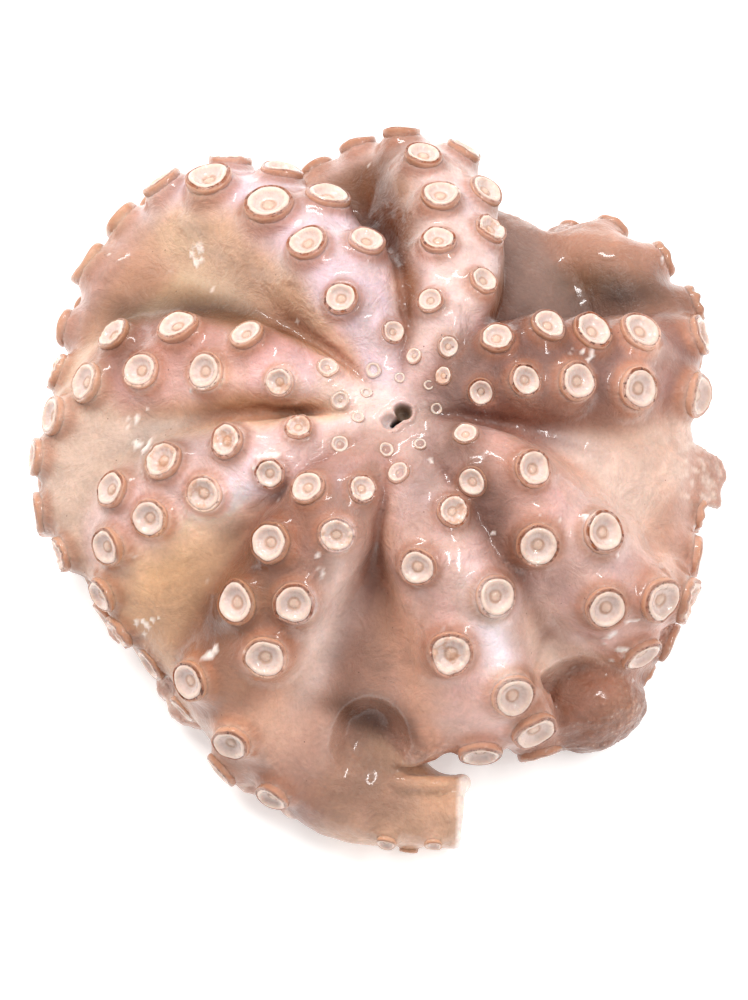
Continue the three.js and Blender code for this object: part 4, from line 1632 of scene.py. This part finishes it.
@dataclass
class CupRow:
    """The cups of one arm's suckers, as one piece."""

    name: str
    suckers: list[Sucker]
    body: Body
    columns: int = 44

    # Each row: distance from the middle and height in sucker radii, and run, a number that the finish reads.
    outline: tuple[tuple[float, float, float], ...] = (
        (0.0, -0.6, 0.0), (0.6, -0.55, 0.02), (0.86, -0.46, 0.06), (0.94, -0.36, 0.1),
        (0.985, -0.25, 0.15), (1.01, -0.14, 0.2), (1.015, -0.04, 0.26), (1.0, 0.04, 0.32),
        (0.97, 0.1, 0.36), (0.93, 0.13, 0.39), (0.895, 0.125, 0.42), (0.87, 0.095, 0.44),
        (0.85, 0.1, 0.46), (0.82, 0.14, 0.49), (0.77, 0.175, 0.53), (0.7, 0.165, 0.57),
        (0.62, 0.105, 0.62), (0.56, 0.035, 0.67), (0.48, -0.03, 0.73), (0.4, -0.065, 0.78),
        (0.33, -0.085, 0.82), (0.28, -0.095, 0.86), (0.24, -0.06, 0.89), (0.2, -0.025, 0.92),
        (0.13, 0.0, 0.96), (0.0, 0.005, 1.0),
    )

    def build(self, seat: Seat, finish: bpy.types.Material) -> bpy.types.Object | None:
        """Makes the cups.

        Formula: each cup is a profile turned about its axis. Its radius is uneven by a few slow waves round
        it, its rim is tilted and waved, and its middle is a button or a pit.

        Args:
            seat: where the animal stands.
            finish: the cups' material.

        Returns:
            The piece, or nothing if the arm has no cups.
        """
        if not self.suckers:
            return None
        points, faces, run, rays, worn, edge = [], [], [], [], [], []
        profile = np.array(self.outline)
        turn = np.linspace(0, 2 * math.pi, self.columns, endpoint=False)
        rows, columns = len(profile), self.columns
        away, height, stage = profile[:, 0:1], profile[:, 1:2], profile[:, 2:3]
        upper = ease(height, -0.3, 0.1)
        for one in self.suckers:
            random = np.random.default_rng(37 * one.number + int(abs(one.foot[0]) * 7))
            tear = 1.0 if random.uniform() < 0.25 else random.uniform(0, 0.3)
            waves = self._waves(random, turn, {2: 0.03, 3: 0.018, 4: 0.012, 5: 0.01, 7: 0.008})
            ragged = {6: 0.03 * tear, 9: 0.03 * tear, 13: 0.02 * tear}
            lift = self._waves(random, turn, {1: 0.05, 2: 0.035, 3: 0.02, **ragged})
            across = away * (1 + waves * between(0.6, 1.0, upper))
            level = height + upper * away * lift
            level = level + (stage > 0.87) * random.uniform(-2.0, 0.1) * 0.045
            bowl = np.clip(1 - (away / 0.82) ** 2, 0, 1) * (stage > 0.5)
            level = level - random.uniform(-0.01, 0.08) * bowl
            other = np.cross(one.stands, one.along)
            ring = np.cos(turn)[None, :, None] * one.along + np.sin(turn)[None, :, None] * other
            top = one.foot + one.rise * one.stands
            shape = top + one.radius * (across[..., None] * ring + level[..., None] * one.stands)
            base = sum(len(part) for part in points)
            points.append(np.vstack([shape[1:-1].reshape(-1, 3), shape[0].mean(0), shape[-1].mean(0)]))
            grid = base + np.arange((rows - 2) * columns).reshape(rows - 2, columns)
            ahead = np.roll(grid, -1, axis=1)
            low_pole, high_pole = base + (rows - 2) * columns, base + (rows - 2) * columns + 1
            faces.append((np.stack([grid[:-1], ahead[:-1], ahead[1:], grid[1:]], -1).reshape(-1, 4),
                          np.stack([ahead[0], grid[0], np.full(columns, low_pole)], -1),
                          np.stack([grid[-1], ahead[-1], np.full(columns, high_pole)], -1)))
            run.append(np.concatenate([np.repeat(profile[1:-1, 2], columns), [0, 1]]))
            rays.append(np.concatenate([np.tile(random.uniform(0, 1, columns), rows - 2), [0.5, 0.5]]))
            worn.append(np.full(len(points[-1]), tear))
            edge.append(np.full(len(points[-1]), float(ease(one.radius, 2.2, 5.5)) * random.uniform(0.35, 1)))
        quads = np.concatenate([part[0] for part in faces])
        caps = np.concatenate([np.concatenate(part[1:]) for part in faces])
        points, run = np.concatenate(points), np.concatenate(run)
        piece = make_piece(self.name, points, [quads, caps], seat)
        wall = (run > 0.05) & (run < 0.5)
        tint = np.full((len(points), 3), 0.5)
        tint[wall] = self.body.tints(points[wall])["tint"]
        store(piece, "run", run)
        for name, rows_of in (("rays", rays), ("worn", worn), ("edge", edge)):
            store(piece, name, np.concatenate(rows_of))
        store(piece, "tint", tint)
        piece.data.materials.append(finish)
        return piece

    @staticmethod
    def _waves(random: np.random.Generator, turn: Array, sizes: dict[int, float]) -> Array:
        """Adds up waves round a cup, each with a seeded size and phase, as one row."""
        waves = (random.normal(0, size) * np.cos(n * turn + random.uniform(0, 6.28))
                 for n, size in sizes.items())
        return sum(waves)[None]


# --------------------------------------------------------------------------------------------------
# Studio
# --------------------------------------------------------------------------------------------------


class Mood(Enum):
    """Lamps of the studio: place in metres from the row's middle, size, power, colour, whether it glints."""

    KEY = ((-0.6, 0.5, 1.0), 0.5, 11.5, (1.0, 0.985, 0.96), False)
    FILL = ((0.7, -0.1, 0.9), 0.9, 4.5, (1.0, 0.99, 0.98), False)
    SPARK = ((-0.15, 0.8, 0.8), 0.5, 3.4, (1.0, 1.0, 1.0), True)
    GLINT = ((0.5, -0.1, 0.9), 0.4, 2.0, (1.0, 1.0, 1.0), True)


@dataclass
class Studio:
    """Floor, lamps, world and camera."""

    seat: Seat
    elevation: float = 72.0
    distance: float = 1.1
    frame_height: float = 0.340
    aim: tuple[float, float] = (-0.0085, -0.0292)
    mouth_height: float = 76.0
    sensor: float = 36.0
    lit: tuple[float, float, float] = (0.0, 0.0, 0.05)
    ambient: float = 0.52
    floor_glow: float = 0.38

    def build(self) -> None:
        """Sets the stage."""
        self._floor()
        self._world()
        for lamp in Mood:
            self._lamp(lamp)
        self._camera()

    def _floor(self) -> None:
        """A wide white floor just under the object."""
        mesh = bpy.data.meshes.new("floor")
        half = 4.0
        corners = [(-half, -half, 0), (half, -half, 0), (half, half, 0), (-half, half, 0)]
        mesh.from_pydata(corners, [], [(0, 1, 2, 3)])
        floor = put("floor", mesh)
        shop = Shop("white_floor")
        colour = shop.mix(shop.noise(3, 2), (0.925, 0.923, 0.92), (0.935, 0.933, 0.93))
        glow = {"Emission Color": (1, 1, 1, 1), "Emission Strength": self.floor_glow}
        mesh.materials.append(shop.finish({"Base Color": colour, "Roughness": 0.9, **glow}))

    def _world(self) -> None:
        """An even white surround."""
        world = bpy.data.worlds.new("surround")
        world.use_nodes = True
        background = world.node_tree.nodes["Background"]
        background.inputs["Color"].default_value = (1.0, 0.995, 0.985, 1)
        background.inputs["Strength"].default_value = self.ambient
        bpy.context.scene.world = world

    def _lamp(self, lamp: Mood) -> None:
        """One lamp aimed at the object: a soft square, or a narrow strip if it glints."""
        place, size, power, colour, glints = lamp.value
        light = bpy.data.lights.new(lamp.name.lower(), "AREA")
        light.shape, light.size, light.size_y = "RECTANGLE", size, size * (0.1 if glints else 1)
        light.energy, light.color = power, colour
        made = put(lamp.name.lower(), light)
        made.location = place
        made.visible_glossy = glints
        made.rotation_mode = "QUATERNION"
        made.rotation_quaternion = (Vector(self.lit) - Vector(place)).to_track_quat("-Z", "Y")

    def _camera(self) -> None:
        """A long lens that looks down at the object."""
        tilt = math.radians(self.elevation)
        back = Vector((0, -math.cos(tilt), math.sin(tilt)))
        upward = Vector((0, math.sin(tilt), math.cos(tilt)))
        mouth = Vector((*self.seat.mouth, self.mouth_height * self.seat.scale))
        aim = mouth + Vector((self.aim[0], 0, 0)) + upward * self.aim[1]
        lens = bpy.data.cameras.new("camera")
        lens.sensor_width = self.sensor
        lens.lens = self.sensor * self.distance / self.frame_height
        lens.clip_start, lens.clip_end = 0.05, 50
        camera = put("camera", lens)
        camera.location = aim + back * self.distance
        camera.rotation_mode = "QUATERNION"
        camera.rotation_quaternion = (-back).to_track_quat("-Z", "Y")
        bpy.context.scene.camera = camera
        view = bpy.context.scene.view_settings
        view.view_transform, view.look = "Standard", "None"
        view.exposure, view.gamma = 0.0, 1.0


def main() -> None:
    """Builds the octopus and its studio, and reports each piece."""
    logging.basicConfig(level=logging.INFO, format="%(name)s: %(message)s")
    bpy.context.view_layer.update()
    seat = Seat.from_box(*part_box("octopus"))
    limbs = [Limb(plan) for plan in ARMS]
    body = Body(limbs, seat)
    body.shape()
    skin = body.build()
    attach(skin, "root")
    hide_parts("octopus")
    log.info("%s: %d points", skin.name, len(skin.data.vertices))
    finish = CupFinish().build()
    for plan, suckers in zip(ARMS, body.suckers):
        cups = CupRow(f"cups_{plan.name}", suckers, body).build(seat, finish)
        if cups is not None:
            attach(cups, "root")
            log.info("%s: %d cups, %d points", cups.name, len(suckers), len(cups.data.vertices))
    Studio(seat).build()


if __name__ == "__main__":
    main()
